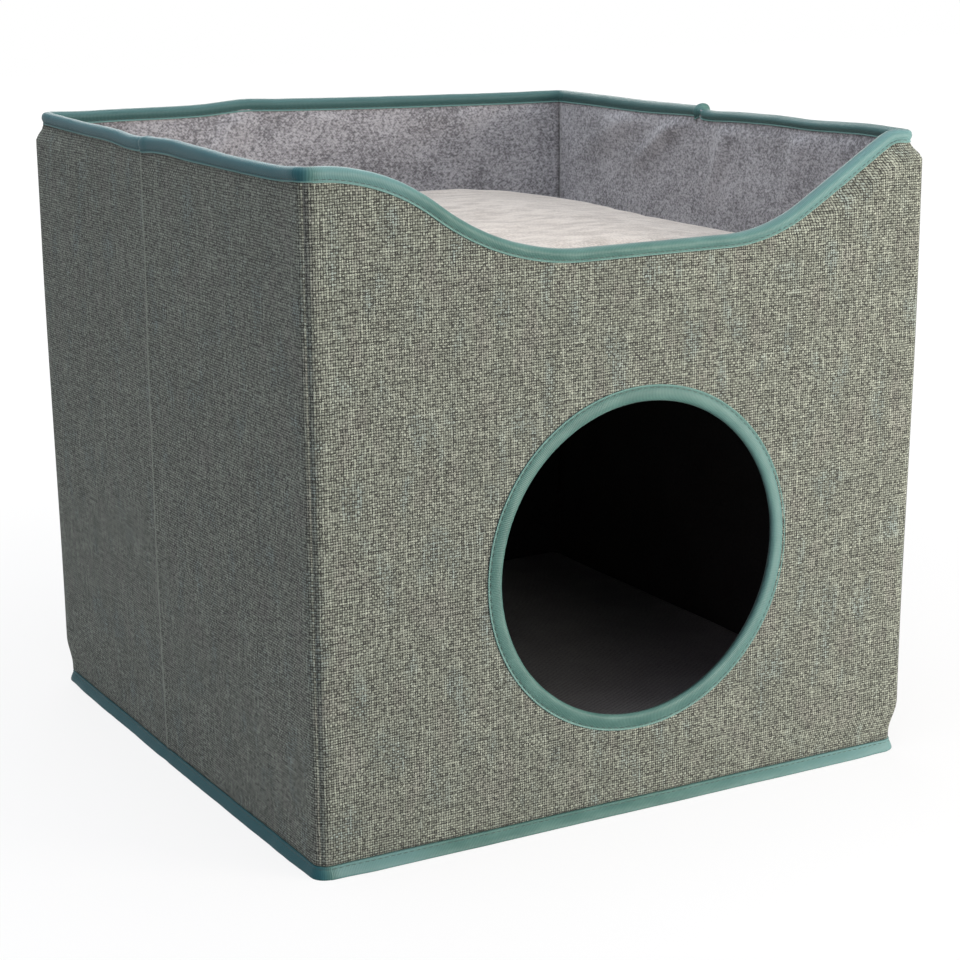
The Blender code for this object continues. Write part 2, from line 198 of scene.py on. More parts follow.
@dataclass(frozen=True)
class Sweep:
    """One half of the dip: from its level foot a concave arc, a ramp and a convex shoulder."""

    foot_radius: float
    ramp: float
    shoulder_radius: float

    def drop(self, depth: float, end: float, far: float) -> float:
        """How far the rim lies below its level.

        Args:
            depth: The depth of the dip.
            end: Where the shoulder ends, from the middle of the foot.
            far: Where to read it, from the same place.

        Returns:
            The drop, from 0 to the depth.
        """
        radii = self.foot_radius + self.shoulder_radius
        slope = math.atan2(radii, self.ramp) + math.asin((depth - radii) / math.hypot(radii, self.ramp))
        run = math.sin(slope)
        shoulder = end - self.shoulder_radius * run
        ramp = shoulder - self.ramp * math.cos(slope)
        foot = ramp - self.foot_radius * run
        if far >= end:
            return 0.0
        if far >= shoulder:
            return self.shoulder_radius - math.sqrt(self.shoulder_radius**2 - (end - far) ** 2)
        if far >= ramp:
            return self.shoulder_radius * (1.0 - math.cos(slope)) + (shoulder - far) * math.tan(slope)
        if far >= foot:
            return depth - self.foot_radius + math.sqrt(self.foot_radius**2 - (far - foot) ** 2)
        return depth


@dataclass(frozen=True)
class Dip:
    """The dip in the rim of the front. Its left side rises in one long sweep, its right side straighter."""

    depth: float = 0.0544
    left: Sweep = Sweep(0.150, 0.001, 0.122)
    right: Sweep = Sweep(0.104, 0.068, 0.028)
    land: float = 0.0005
    shift: float = 0.009

    def drop(self, x: float, flat: float) -> float:
        """How far the rim lies below its level.

        Args:
            x: The distance right of the middle of the front.
            flat: Half the width of the front between its rounded corners.

        Returns:
            The drop, from 0 to the depth.
        """
        far = x - self.shift
        sweep = self.right if far > 0.0 else self.left
        return sweep.drop(self.depth, flat - self.land - math.copysign(self.shift, far), abs(far))


# Drop of the rim and width of its tape, in millimetres, by the run along each wall from its middle
RIM_DROP = {
    Side.FRONT: ((-193, 0.0), (172, 0.0), (183, 0.5), (193, 2.0)),
    Side.RIGHT: (
        (-193, 2.0), (-160, 1.5), (-140, 2.1), (-110, 3.2), (-80, 3.1), (-50, 3.3), (-25, 4.0), (-5, 4.9),
        (9, 5.0), (17, 3.4), (25, 2.9), (40, 3.1), (70, 3.5), (100, 3.6), (150, 3.3), (193, 3.4),
    ),
    Side.BACK: (
        (-193, 3.4), (-155, 3.1), (-125, 2.6), (-95, 2.0), (-65, 1.5), (-35, 0.8), (-5, 0.2), (25, -0.5),
        (55, -1.6), (70, -0.8), (85, 0.2), (115, 0.5), (145, 0.3), (170, 0.4), (193, -0.3),
    ),
    Side.LEFT: (
        (-193, -0.3), (-150, 0.6), (-110, 0.9), (-70, 0.8), (-45, 2.0), (-28, 2.0), (-10, 1.2), (8, 0.2),
        (25, -0.2), (45, 0.4), (75, 1.0), (100, 1.8), (140, 1.9), (172, 1.5), (193, 0.0),
    ),
}
TAPE_WIDTH = {
    Side.FRONT: ((-193, 6.6), (-150, 6.8), (-100, 6.4), (0, 5.9), (80, 5.9), (150, 6.4), (193, 6.0)),
    Side.RIGHT: ((-193, 5.6), (-110, 4.9), (-60, 4.9), (0, 5.2), (30, 5.6), (80, 6.6), (193, 6.9)),
    Side.BACK: ((-193, 6.9), (0, 7.0), (193, 6.4)),
    Side.LEFT: ((-193, 6.2), (-100, 6.0), (-40, 6.6), (0, 7.3), (60, 7.4), (100, 6.2), (193, 6.2)),
}
BOW = {Side.FRONT: 0.0006, Side.RIGHT: 0.0018, Side.BACK: 0.0012, Side.LEFT: 0.0027}


@dataclass(frozen=True)
class Shell:
    """The walls: their sizes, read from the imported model, and the way the real cloth lies on them."""

    half_x: float
    half_y: float
    foot: float
    rim: float
    wall: float
    facing_low: float
    dip: Dip
    corner: float = 0.007
    crease: float = 0.017
    strip: float = 0.013
    strip_rise: float = 0.0003
    puffs: tuple[tuple[float, float], ...] = ((0.0, 0.0), (0.0075, -0.0035), (0.004, 0.004), (-0.0045, 0.003))
    shelf: float = 0.285
    free_height: float = 0.105
    back_lean: float = 0.004
    wave: float = 0.00042
    fine_wave: float = 0.00012
    puff_reach: float = 0.12

    @classmethod
    def from_frame(cls) -> "Shell":
        """Reads the sizes from the CAD nodes.

        Returns:
            The walls' measures.
        """
        half_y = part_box("back_cover")[1].y
        return cls(
            half_x=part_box("right_cover")[1].x,
            half_y=half_y,
            foot=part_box("back_cover")[0].z,
            rim=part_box("back_cover")[1].z,
            wall=half_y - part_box("back_facing")[0].y,
            facing_low=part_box("back_facing")[0].z,
            dip=Dip(),
        )

    def half(self, side: Side) -> float:
        """Half the length of a wall over its rounded corners."""
        return self.half_x if side.crosswise else self.half_y

    def reach(self, side: Side) -> float:
        """The distance from the middle of the cube to the outer face of a wall."""
        return self.half_y if side.crosswise else self.half_x

    def flat(self, side: Side) -> float:
        """Half the length of the flat part of a wall."""
        return self.half(side) - self.corner

    def seam(self, side: Side) -> float:
        """The run from the middle of a wall to the seam in the middle of its corner."""
        return self.flat(side) + self.corner * math.pi / 4

    def place(self, side: Side, run: float, out: float, z: float) -> Vector:
        """A point on a wall or its rounded corner.

        Args:
            side: The wall.
            run: The way along the outer face from the middle, to the right as seen from outside.
            out: The distance outside the outer face, negative inside it.
            z: The height.

        Returns:
            The point.
        """
        flat = self.flat(side)
        along = run
        away = self.reach(side) + out
        if abs(run) > flat:
            turn = (abs(run) - flat) / self.corner
            radius = self.corner + out
            along = math.copysign(flat + radius * math.sin(turn), run)
            away = self.reach(side) - self.corner + radius * math.cos(turn)
        return side.along * along + side.out * away + Vector((0.0, 0.0, z))

    def inside(self, side: Side, run: float, inwards: float, z: float) -> Vector:
        """A point before the inner face of a wall.

        Args:
            side: The wall.
            run: The way along the wall from its middle.
            inwards: The distance from the inner face towards the middle of the cube.
            z: The height.

        Returns:
            The point.
        """
        away = self.reach(side) - self.wall - inwards + self.bow(side, run, z)
        return side.along * run + side.out * away + Vector((0.0, 0.0, z))

    def fold(self, side: Side) -> float:
        """The place of the upright fold of a side wall, as a run from its middle."""
        return -self.crease if side is Side.LEFT else self.crease

    def bow(self, side: Side, run: float, z: float) -> float:
        """How far the wall stands out as a whole.

        Args:
            side: The wall.
            run: The way along it from its middle.
            z: The height.

        Returns:
            The distance outside the flat plane.
        """
        blunt = 0.8 if side.crosswise else 0.05
        middle = 0.0 if side.crosswise else self.fold(side)
        share = min(abs(run - middle) / self.flat(side), 1.0)
        tent = 1.0 - (math.hypot(share, blunt) - blunt) / (math.hypot(1.0, blunt) - blunt)
        up = held_in((z - self.foot) / (self.rim - self.foot), 0.0, 1.0)
        belly = BOW[side] * tent * (0.45 + 0.55 * math.sin(math.pi * up**0.85))
        return belly + self.lean(side, run, z)

    def swell(self, side: Side, run: float, z: float) -> float:
        """How far the outer cloth stands out from the flat plane, waves included.

        Args:
            side: The wall.
            run: The way along it from its middle.
            z: The height.

        Returns:
            The distance outside the flat plane.
        """
        corner = self.seam(side) - abs(run)
        fade = ease(0.0, 0.02, corner)
        waves = self.wave * ripple(run, z, side.value * 7.3, 0.055)
        waves += self.fine_wave * ripple(run, z, side.value * 7.3 + 3.0, 0.016)
        border = self.strip_rise * ease(self.strip + 0.0012, self.strip, corner)
        tuck = -0.0006 * hump(corner, 0.0, 0.0009)
        ridge = 0.0
        if not side.crosswise:
            wander = 0.0016 * ripple(0.0, z, side.value + 0.5, 0.07)
            ridge = 0.0007 * hump(run, self.fold(side) + wander, 0.0024)
        return self.bow(side, run, z) + fade * waves + border + tuck + ridge

    def puff(self, side: Side, run: float, z: float) -> Vector:
        """How far the loose cloth stands out at the corners, between the tapes that hold it in.

        Args:
            side: The wall.
            run: The way along it from its middle.
            z: The height.

        Returns:
            The shift, which is the same on both walls that meet in the corner.
        """
        x, y = self.puffs[(side.value + (run > 0.0)) % 4]
        tape = self.top(side, run) - self.tape_width(side, run)
        free = ease(tape - 0.0005, tape - 0.011, z) * ease(self.foot + 0.003, self.foot + 0.024, z)
        near = ease(self.puff_reach, 0.0, self.flat(side) - abs(run))
        share = free * near * (0.6 + 0.4 * ease(0.05, 0.30, z))
        return Vector((x, y, 0.0)) * share

    def lean(self, side: Side, run: float, z: float) -> float:
        """How far the free upper edge of the back leans out, above the shelf that holds the walls.

        Args:
            side: The wall.
            run: The way along it from its middle.
            z: The height.

        Returns:
            The distance outside the plane of the wall.
        """
        if side is not Side.BACK:
            return 0.0
        free = held_in((z - self.shelf) / self.free_height, 0.0, 1.0)
        return self.back_lean * hump(run, 0.040, 0.060) * free**1.2

    def top(self, side: Side, run: float) -> float:
        """The height of the edge of a wall, with the dip and the sag of its rim.

        Args:
            side: The wall.
            run: The way along it from its middle.

        Returns:
            The height of the cut edge of the cloth and the boards.
        """
        top = self.rim - reading(RIM_DROP[side], run * 1000.0) / 1000.0
        return top - self.dip.drop(run, self.flat(side)) if side is Side.FRONT else top

    def tape_width(self, side: Side, run: float) -> float:
        """How far the rim tape reaches down the wall."""
        return reading(TAPE_WIDTH[side], run * 1000.0) / 1000.0


@dataclass(frozen=True)
class Entry:
    """The round entry in the front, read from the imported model."""

    x: float
    z: float
    radius: float
    squeeze: float = 0.0008
    lean: float = math.radians(50)
    ring: float = 0.01

    @classmethod
    def from_frame(cls, tape_width: float) -> "Entry":
        """Reads the place of the entry from its binding.

        Args:
            tape_width: How wide the tape shows.

        Returns:
            The entry, with the radius that is clear inside the tape.
        """
        low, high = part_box("entry_binding")
        return cls((low.x + high.x) / 2, (low.z + high.z) / 2, (high.x - low.x) / 2 - tape_width)

    def edge(self, angle: float) -> float:
        """The clear radius in one direction: the hand-sewn round is a little out of true."""
        return self.radius - self.squeeze / 2 + self.squeeze * math.cos(2 * (angle - self.lean))

    def beyond(self, run: float, z: float) -> float:
        """How far a place on the front lies outside the clear round."""
        return math.hypot(run - self.x, z - self.z) - self.radius

    def cut(self, bm: bmesh.types.BMesh, cell: float, margin: float) -> None:
        """Opens the hole in a cloth or board of the front, with its edge hidden in the fold of the tape.

        Args:
            bm: The cloth or board.
            cell: The size of its cells.
            margin: How far its edge lies outside the clear opening.
        """
        middles = [(face, face.calc_center_median()) for face in bm.faces]
        inside = [face for face, co in middles if self.beyond(co.x, co.z) < margin + cell / 2]
        bmesh.ops.delete(bm, geom=inside, context="FACES")
        border = {vert for edge in bm.edges if edge.is_boundary for vert in edge.verts}
        for vert in (v for v in border if self.beyond(v.co.x, v.co.z) < self.ring):
            angle = math.atan2(vert.co.z - self.z, vert.co.x - self.x)
            radius = self.edge(angle) + margin
            vert.co.x = self.x + radius * math.cos(angle)
            vert.co.z = self.z + radius * math.sin(angle)


class Value:
    """A number that the nodes of a finish work out, for use in sums."""

    def __init__(self, graph: "Nodes", socket: bpy.types.NodeSocket) -> None:
        """Keeps the graph and the output socket of the number."""
        self.graph = graph
        self.socket = socket

    def __add__(self, other: "Number") -> "Value":
        """The sum of two numbers."""
        return self.graph.math("ADD", self, other)

    def __sub__(self, other: "Number") -> "Value":
        """The difference of two numbers."""
        return self.graph.math("SUBTRACT", self, other)

    def __mul__(self, other: "Number") -> "Value":
        """The product of two numbers."""
        return self.graph.math("MULTIPLY", self, other)

    def __truediv__(self, other: "Number") -> "Value":
        """The quotient of two numbers."""
        return self.graph.math("DIVIDE", self, other)


Number = Value | float


class Nodes:
    """The nodes of a material or of the world."""

    def __init__(self, owner: bpy.types.Material | bpy.types.World, shader: str) -> None:
        """Opens the nodes.

        Args:
            owner: The material or the world.
            shader: The name of its main shader.
        """
        owner.use_nodes = True
        self.tree = owner.node_tree
        self.shader = self.tree.nodes[shader]

    def set(self, name: str, value: float | Color | Value) -> None:
        """Gives a socket of the shader a constant or a worked-out value.

        Args:
            name: The socket.
            value: What it gets.
        """
        if isinstance(value, tuple):
            value = (*value, 1.0)
        self.feed(self.shader.inputs[name], value)

    def feed(self, socket: bpy.types.NodeSocket, value: object) -> None:
        """Links a value to a socket, or sets the socket to a constant.

        Args:
            socket: The socket.
            value: The value or the constant.
        """
        if isinstance(value, Value):
            self.tree.links.new(value.socket, socket)
        else:
            socket.default_value = value

    def node(self, kind: str, output: int | str, inputs: dict, **settings: object) -> Value:
        """Adds a node.

        Args:
            kind: The end of the node's type name.
            output: Which of its outputs to use.
            inputs: Values for its inputs, by name or number.
            **settings: The node's own properties.

        Returns:
            The output.
        """
        made = self.tree.nodes.new("ShaderNode" + kind)
        for key, value in settings.items():
            setattr(made, key, value)
        for key, value in inputs.items():
            self.feed(made.inputs[key], value)
        return Value(self, made.outputs[output])

    def math(self, operation: str, *terms: Number) -> Value:
        """A sum, product or other function of one to three numbers."""
        return self.node("Math", 0, dict(enumerate(terms)), operation=operation)

    def axes(self, source: str) -> tuple[Value, Value, Value]:
        """The three numbers of a texture coordinate.

        Args:
            source: UV or Object.

        Returns:
            Its x, y and z.
        """
        point = self.node("TexCoord", source, {})
        return tuple(self.node("SeparateXYZ", i, {0: point}) for i in range(3))

    def joined(self, x: Number, y: Number, z: Number = 0.0) -> Value:
        """A vector of three numbers."""
        return self.node("CombineXYZ", 0, {0: x, 1: y, 2: z})

    def grain(self, x: Number, y: Number, z: Number = 0.0, detail: float = 0.0) -> Value:
        """Smooth noise from 0 to 1, with cells about one unit wide."""
        return self.node("TexNoise", 0, {"Vector": self.joined(x, y, z), "Scale": 1.0, "Detail": detail})

    def step(self, value: Number, low: float, high: float, start: float = 0.0, end: float = 1.0) -> Value:
        """A smooth step of a value from low to high, between two results."""
        inputs = {0: value, 1: low, 2: high, 3: start, 4: end}
        return self.node("MapRange", 0, inputs, interpolation_type="SMOOTHSTEP")

    def mix(self, share: Number, first: Color | Value, second: Color | Value) -> Value:
        """A blend of two colours.

        Args:
            share: How much of the second colour shows.
            first: The one colour.
            second: The other.

        Returns:
            The blend.
        """
        first = (*first, 1.0) if isinstance(first, tuple) else first
        second = (*second, 1.0) if isinstance(second, tuple) else second
        return self.node("Mix", 2, {0: share, 6: first, 7: second}, data_type="RGBA")

    def seen(self) -> Value:
        """1 for a ray from the camera, a reflection or glass, else 0.

        Returns:
            The number, for the ray that asks.
        """
        kinds = ("Camera", "Glossy", "Transmission")
        camera, glossy, glass = (self.node("LightPath", f"Is {kind} Ray", {}) for kind in kinds)
        return self.math("MAXIMUM", self.math("MAXIMUM", camera, glossy), glass)

    def whiten(self, share: Value, kind: str, strength: float) -> None:
        """Shows white light in place of the main shader.

        Args:
            share: How much of it shows.
            kind: The shader that gives the light.
            strength: Its strength.
        """
        white = self.node(kind, 0, {"Color": (1.0, 1.0, 1.0, 1.0), "Strength": strength})
        mix = self.node("MixShader", 0, {0: share, 1: Value(self, self.shader.outputs[0]), 2: white})
        end = next(node for node in self.tree.nodes if "Surface" in node.inputs)
        self.feed(end.inputs["Surface"], mix)


class Graph(Nodes):
    """The nodes of one material."""

    def __init__(self, name: str, roughness: float) -> None:
        """Starts a material.

        Args:
            name: The name of the material.
            roughness: Its roughness, the same all over.
        """
        self.material = bpy.data.materials.new(name)
        super().__init__(self.material, "Principled BSDF")
        self.set("Roughness", roughness)


@dataclass(frozen=True, kw_only=True)
class Look:
    """What the finishes share: a roughness, a relief in metres and the sheen that fibres catch."""

    name: str
    roughness: float
    relief: float
    sheen: float = 0.0
    sheen_roughness: float = 0.5

    def dress(self, g: Graph) -> tuple[Value, Value]:
        """Works out how the surface looks.

        Args:
            g: The material's nodes.

        Returns:
            The colour, and the height from 0 to 1.
        """
        raise NotImplementedError

    def make(self) -> bpy.types.Material:
        """Builds the material.

        Returns:
            The material.
        """
        g = Graph(self.name, self.roughness)
        color, height = self.dress(g)
        g.set("Base Color", color)
        g.set("Normal", g.node("Bump", 0, {"Height": height, "Distance": self.relief, "Strength": 1.0}))
        g.set("Sheen Weight", self.sheen)
        g.set("Sheen Roughness", self.sheen_roughness)
        return g.material


@dataclass(frozen=True, kw_only=True)
class Weave(Look):
    """Coarse plain weave of slubby yarns, on a UV map in metres."""

    name: str = "coarse_weave"
    roughness: float = 0.88
    relief: float = 0.00035
    sheen: float = 0.06
    pitch: float = 0.0015
    wander: float = 0.0007
    slub_length: float = 0.016
    # painted shade: the dark colour that the low places between and beside the yarns take
    gap: Color = (0.028, 0.031, 0.026)
    warp: Color = (0.171, 0.191, 0.158)
    weft: Color = (0.229, 0.258, 0.215)
    pale: Color = (0.358, 0.400, 0.335)
    cool: Color = (0.291, 0.358, 0.331)
    rose: Color = (0.250, 0.242, 0.225)
    fold: float = 0.017
    left_face: float = -0.193
    yarn_step: float = 7.31
    tone_step: float = 3.17

    def dress(self, g: Graph) -> tuple[Value, Value]:
        """Works out the yarns, their tones, the painted shade between them and the lighter stripe along the
        left fold.

        Args:
            g: The material's nodes.

        Returns:
            The colour, and the height from 0 to 1.
        """
        u, v, _ = g.axes("UV")
        cell_u = (u + self.stray(g, u, v, 2.0)) / self.pitch
        cell_v = (v + self.stray(g, u, v, 8.0)) / self.pitch
        i = g.math("FLOOR", cell_u)
        j = g.math("FLOOR", cell_v)
        across = cell_u - i - 0.5
        along = cell_v - j - 0.5
        over = g.math("FLOORED_MODULO", i + j, 2.0) * 2.0 - 1.0
        slub = 1.0 / self.slub_length
        fuzz = (g.grain(u * 3300.0, v * 3300.0, 41.0) - 0.5) * 0.3
        knot = g.node("TexWhiteNoise", "Value", {"Vector": g.joined(i, j)}) - 0.5
        warp_body = g.grain(i * self.yarn_step, v * slub, 1.0, 1.0) + knot * 0.2
        weft_body = g.grain(u * slub, j * self.yarn_step, 5.0, 1.0) - knot * 0.2
        warp = self.strand(g, across, along, over * -1.0, warp_body)
        weft = self.strand(g, along, across, over, weft_body)
        height = g.math("MAXIMUM", warp, weft) + fuzz
        on_weft = g.math("GREATER_THAN", weft, warp)
        warp_tone = g.grain(i * self.tone_step, v * 38.0, 11.0, 1.0)
        weft_tone = g.grain(u * 90.0, j * self.tone_step, 17.0, 1.0)
        patch = g.grain(u * 16.0, v * 16.0, 23.0, 2.0) - 0.5
        shift = knot * 0.24 + patch * 0.12
        weft_bright = g.step(weft_tone + shift, 0.30, 0.72)
        warp_bright = g.step(warp_tone + shift * 0.7, 0.42, 0.70)
        bright = warp_bright + (weft_bright - warp_bright) * on_weft
        plain = g.mix(on_weft, self.warp, self.weft)
        drift = g.grain(u * 28.0 + i * 0.06, v * 28.0, 31.0, 1.0)
        tint = g.mix(g.step(drift, 0.52, 0.70), self.pale, self.cool)
        yarn = g.mix(bright, plain, tint)
        rosy = g.mix(g.step(drift, 0.48, 0.30, 0.0, 0.30), yarn, self.rose)
        # painted shade: dark pits, and the low places of the weave by their height, take the dark colour
        pit_shade = g.step(g.grain(u * 420.0, v * 420.0, 53.0, 1.0), 0.34, 0.50, 0.36, 0.0)
        lit = g.step(height - pit_shade, 0.26, 0.74)
        x, y, _ = g.axes("Object")
        on_left = g.step(x, self.left_face + 0.003, self.left_face - 0.003)
        # a lighter stripe of the pale colour along the fold of the left wall
        fold_stripe = g.step(g.math("ABSOLUTE", y - self.fold), 0.0018, 0.0004, 0.0, 0.55) * on_left
        return g.mix(fold_stripe, g.mix(lit, self.gap, rosy), self.pale), height

    def stray(self, g: Graph, u: Value, v: Value, key: float) -> Value:
        """How far a yarn strays from its straight line, in metres."""
        slow = (g.grain(u * 60.0, v * 60.0, key) - 0.5) * self.wander
        return slow + (g.grain(u * 260.0, v * 260.0, key + 3.0) - 0.5) * (self.wander * 0.6)

    def strand(self, g: Graph, side: Value, along: Value, over: Value, body: Value) -> Value:
        """The height of one set of yarns.

        Args:
            g: The material's nodes.
            side: The distance from the middle of the yarn, in cells.
            along: The distance from the middle of the crossing, in cells.
            over: 1 where the yarn lies on top, -1 where it lies below.
            body: How thick the yarn is here, as noise.

        Returns:
            The height from 0 to 1.
        """
        half = g.step(body, 0.25, 0.75, 0.25, 0.51)
        share = side / half
        round_top = g.math("SQRT", g.math("MAXIMUM", g.math("SUBTRACT", 1.0, share * share), 0.0))
        crown = g.math("COSINE", along * math.pi)
        return round_top * (over * crown * 0.46 + 0.54)


@dataclass(frozen=True, kw_only=True)
class Felt(Look):
    """Needle felt of mixed light and dark fibres, on a UV map in metres."""

    name: str = "mottled_felt"
    roughness: float = 0.95
    relief: float = 0.0006
    sheen: float = 0.25
    sheen_roughness: float = 0.6
    dark: Color = (0.122, 0.120, 0.130)
    light: Color = (0.475, 0.470, 0.495)

    def dress(self, g: Graph) -> tuple[Value, Value]:
        """Works out the fibres and their clouds.

        Args:
            g: The material's nodes.

        Returns:
            The colour, and the height from 0 to 1.
        """
        u, v, _ = g.axes("UV")
        level = g.grain(u * 330.0, v * 820.0, 0.0, 1.0)
        leaning = g.grain((u + v) * 620.0, (u - v) * 250.0, 4.0, 1.0)
        crossing = g.grain((u - v) * 620.0, (u + v) * 250.0, 9.0, 1.0)
        clumps = g.grain(u * 240.0, v * 240.0, 13.0, 2.0)
        cloud = g.grain(u * 32.0, v * 32.0, 19.0, 2.0)
        fibres = level * 0.24 + leaning * 0.26 + crossing * 0.26 + clumps * 0.24
        tone = g.step(fibres + (cloud - 0.5) * 0.20, 0.37, 0.63)
        return g.mix(tone, self.dark, self.light), fibres


@dataclass(frozen=True, kw_only=True)
class SatinTape(Look):
    """Ribbed satin binding tape. U runs along the tape and V across it, both in metres."""

    name: str = "satin_binding"
    roughness: float = 0.42
    relief: float = 0.00016
    sheen: float = 0.12
    sheen_roughness: float = 0.35
    width: float = 0.0206
    base: Color = (0.048, 0.128, 0.114)
    worn: Color = (0.090, 0.192, 0.171)
    # painted highlight: the light tint laid on the front tape where the lamps shine on it
    highlight_tint: Color = (0.120, 0.245, 0.245)
    # painted shade: the darker, bluer tint of the tape on the shaded left face
    left_shade: Color = (0.028, 0.115, 0.138)
    # painted highlight: the light line where the lifted edges of the tape catch the light
    selvage_highlight: Color = (0.160, 0.310, 0.285)
    # painted shade: the darker tint of the tape's inner half, named under
    under: Color = (0.050, 0.125, 0.128)
    rib: float = 0.00095
    front_face: float = -0.196
    left_face: float = -0.192
    # where the painted highlights on the front tape fade out on the left and reach full strength on the right
    sheer_left: float = -0.115
    right_highlight_full: float = 0.23

    def dress(self, g: Graph) -> tuple[Value, Value]:
        """Works out the ribs, the worn places, the painted highlights on the front and along both edges, and
        the painted shade on the left face and the inner half.

        Args:
            g: The material's nodes.

        Returns:
            The colour, and the height from 0 to 1.
        """
        u, v, _ = g.axes("UV")
        phase = (u / self.rib + (g.grain(u * 60.0, v * 90.0, 3.0) - 0.5) * 0.8) * (2 * math.pi)
        rib = g.math("COSINE", phase) * 0.5 + 0.5
        cloud = g.grain(u * 55.0, v * 160.0, 7.0, 2.0)
        face = g.mix(g.step(cloud * 0.75 + rib * 0.25, 0.30, 0.72), self.base, self.worn)
        x, y, _ = g.axes("Object")
        # painted highlight: a sheen patch on the left part of the front tape, named brushed, and a lighter
        # right end, named lit_end, where the side lamp shines
        off_corner = g.step(x, self.left_face - 0.004, self.left_face + 0.006)
        brushed = g.step(x, self.sheer_left, self.sheer_left - 0.035, 0.0, 0.7) * off_corner
        lit_end = g.step(x, 0.0, self.right_highlight_full)
        on_front = g.step(y, self.front_face, self.front_face - 0.003)
        face = g.mix((brushed + lit_end) * on_front, face, self.highlight_tint)
        # painted shade: the tape on the left face is darkened; the same mask lowers its specular level
        left = g.step(x, self.left_face, self.left_face - 0.008)
        face = g.mix(left * 0.85, face, self.left_shade)
        middle = self.width / 2
        # painted shade: the inner half of the tape darkens towards its shaded tint
        face = g.mix(g.step(v, middle - 0.0005, middle + 0.0025, 0.0, 0.75), face, self.under)
        # painted highlight along both edges of the tape, named edge
        edge = g.step(g.math("ABSOLUTE", v - middle), middle - 0.0007, middle - 0.0004, 0.0, 0.8)
        g.set("Specular IOR Level", g.math("SUBTRACT", 0.27, left * 0.19))
        return g.mix(edge, face, self.selvage_highlight), rib * 0.6 + cloud * 0.4


@dataclass(frozen=True, kw_only=True)
class Plush(Look):
    """Short soft pile with lighter places where it is brushed the other way."""

    name: str = "short_plush"
    roughness: float = 0.93
    relief: float = 0.0016
    sheen: float = 0.5
    shade: Color = (0.430, 0.370, 0.320)
    pile: Color = (0.700, 0.630, 0.560)
    brushed: Color = (0.860, 0.830, 0.790)
    mark_pitch: float = 0.052

    def dress(self, g: Graph) -> tuple[Value, Value]:
        """Works out the tufts and the marks of brushing.

        Args:
            g: The material's nodes.

        Returns:
            The colour, and the height from 0 to 1.
        """
        x, y, z = g.axes("Object")
        tuft = g.grain(x * 700.0, y * 700.0, z * 700.0, 2.0)
        nap = g.grain(x * 60.0, y * 130.0, z * 80.0, 3.0)
        tone = g.step(tuft * 0.45 + nap * 0.55, 0.36, 0.62)
        face = g.mix(tone, self.shade, self.pile)
        warp_x = x + (g.grain(x * 40.0, y * 40.0, 5.0) - 0.5) * 0.02
        point = g.joined(warp_x / (self.mark_pitch * 1.3), y / self.mark_pitch, 0.0)
        away = g.node("TexVoronoi", "Distance", {"Vector": point, "Scale": 1.0, "Randomness": 0.8})
        mark = g.step(away, 0.24, 0.12) * g.step(g.grain(x * 240.0, y * 420.0, 31.0, 1.0), 0.42, 0.60)
        return g.mix(mark * 0.8, face, self.brushed), tuft * 0.6 + nap * 0.4


@dataclass(frozen=True, kw_only=True)
class RibbedCloth(Look):
    """Dark cloth with fine slanting ribs, on Object coordinates."""

    name: str = "ribbed_cloth"
    roughness: float = 0.9
    relief: float = 0.0004
    sheen: float = 0.1
    low: Color = (0.060, 0.056, 0.054)
    high: Color = (0.400, 0.382, 0.376)
    pitch: float = 0.0021

    def dress(self, g: Graph) -> tuple[Value, Value]:
        """Works out the ribs and the knots.

        Args:
            g: The material's nodes.

        Returns:
            The colour, and the height from 0 to 1.
        """
        x, y, z = g.axes("Object")
        slant = x * 0.94 + y * 0.34 + z * 0.3
        stray = (g.grain(x * 120.0, y * 120.0, z * 120.0, 1.0) - 0.5) * 0.5
        rib = g.math("COSINE", (slant / self.pitch + stray) * (2 * math.pi)) * 0.5 + 0.5
        knots = g.grain(x * 900.0, y * 900.0, z * 900.0, 1.0)
        cloud = g.grain(x * 25.0, y * 25.0, z * 25.0, 2.0)
        tone = g.step(rib * 0.45 + knots * 0.45 + cloud * 0.30, 0.30, 0.85)
        return g.mix(tone, self.low, self.high), rib * 0.6 + knots * 0.4


@dataclass(frozen=True, kw_only=True)
class PlainCloth(Look):
    """Matt non-woven cloth with a faint pressed grid of dots, on a UV map in metres."""

    name: str = "dark_nonwoven"
    roughness: float = 0.92
    relief: float = 0.0002
    low: Color = (0.014, 0.012, 0.012)
    high: Color = (0.036, 0.032, 0.032)
    dot: float = 0.0016

    def dress(self, g: Graph) -> tuple[Value, Value]:
        """Works out the fibres and the pressed dots.

        Args:
            g: The material's nodes.

        Returns:
            The colour, and the height from 0 to 1.
        """
        u, v, _ = g.axes("UV")
        wave = g.math("COSINE", u * (2 * math.pi / self.dot)) * g.math("COSINE", v * (2 * math.pi / self.dot))
        fibre = g.grain(u * 500.0, v * 500.0, 2.0, 3.0)
        cloud = g.grain(u * 20.0, v * 20.0, 6.0, 2.0)
        tone = g.step(fibre * 0.6 + cloud * 0.4, 0.3, 0.7)
        return g.mix(tone, self.low, self.high), wave * 0.3 + fibre * 0.7


@dataclass(frozen=True, kw_only=True)
class Board(Look):
    """Grey board with short fibres and specks, on Object coordinates."""

    name: str = "fibre_board"
    roughness: float = 0.85
    relief: float = 0.00015
    low: Color = (0.215, 0.200, 0.175)
    high: Color = (0.365, 0.345, 0.310)

    def dress(self, g: Graph) -> tuple[Value, Value]:
        """Works out the fibres and the specks.

        Args:
            g: The material's nodes.

        Returns:
            The colour, and the height from 0 to 1.
        """
        x, y, z = g.axes("Object")
        fibre = g.grain(x * 300.0, y * 900.0, z * 300.0, 3.0)
        specks = g.grain(x * 1500.0, y * 1500.0, z * 1500.0)
        tone = g.step(fibre * 0.7 + specks * 0.3, 0.35, 0.65)
        return g.mix(tone, self.low, self.high), fibre


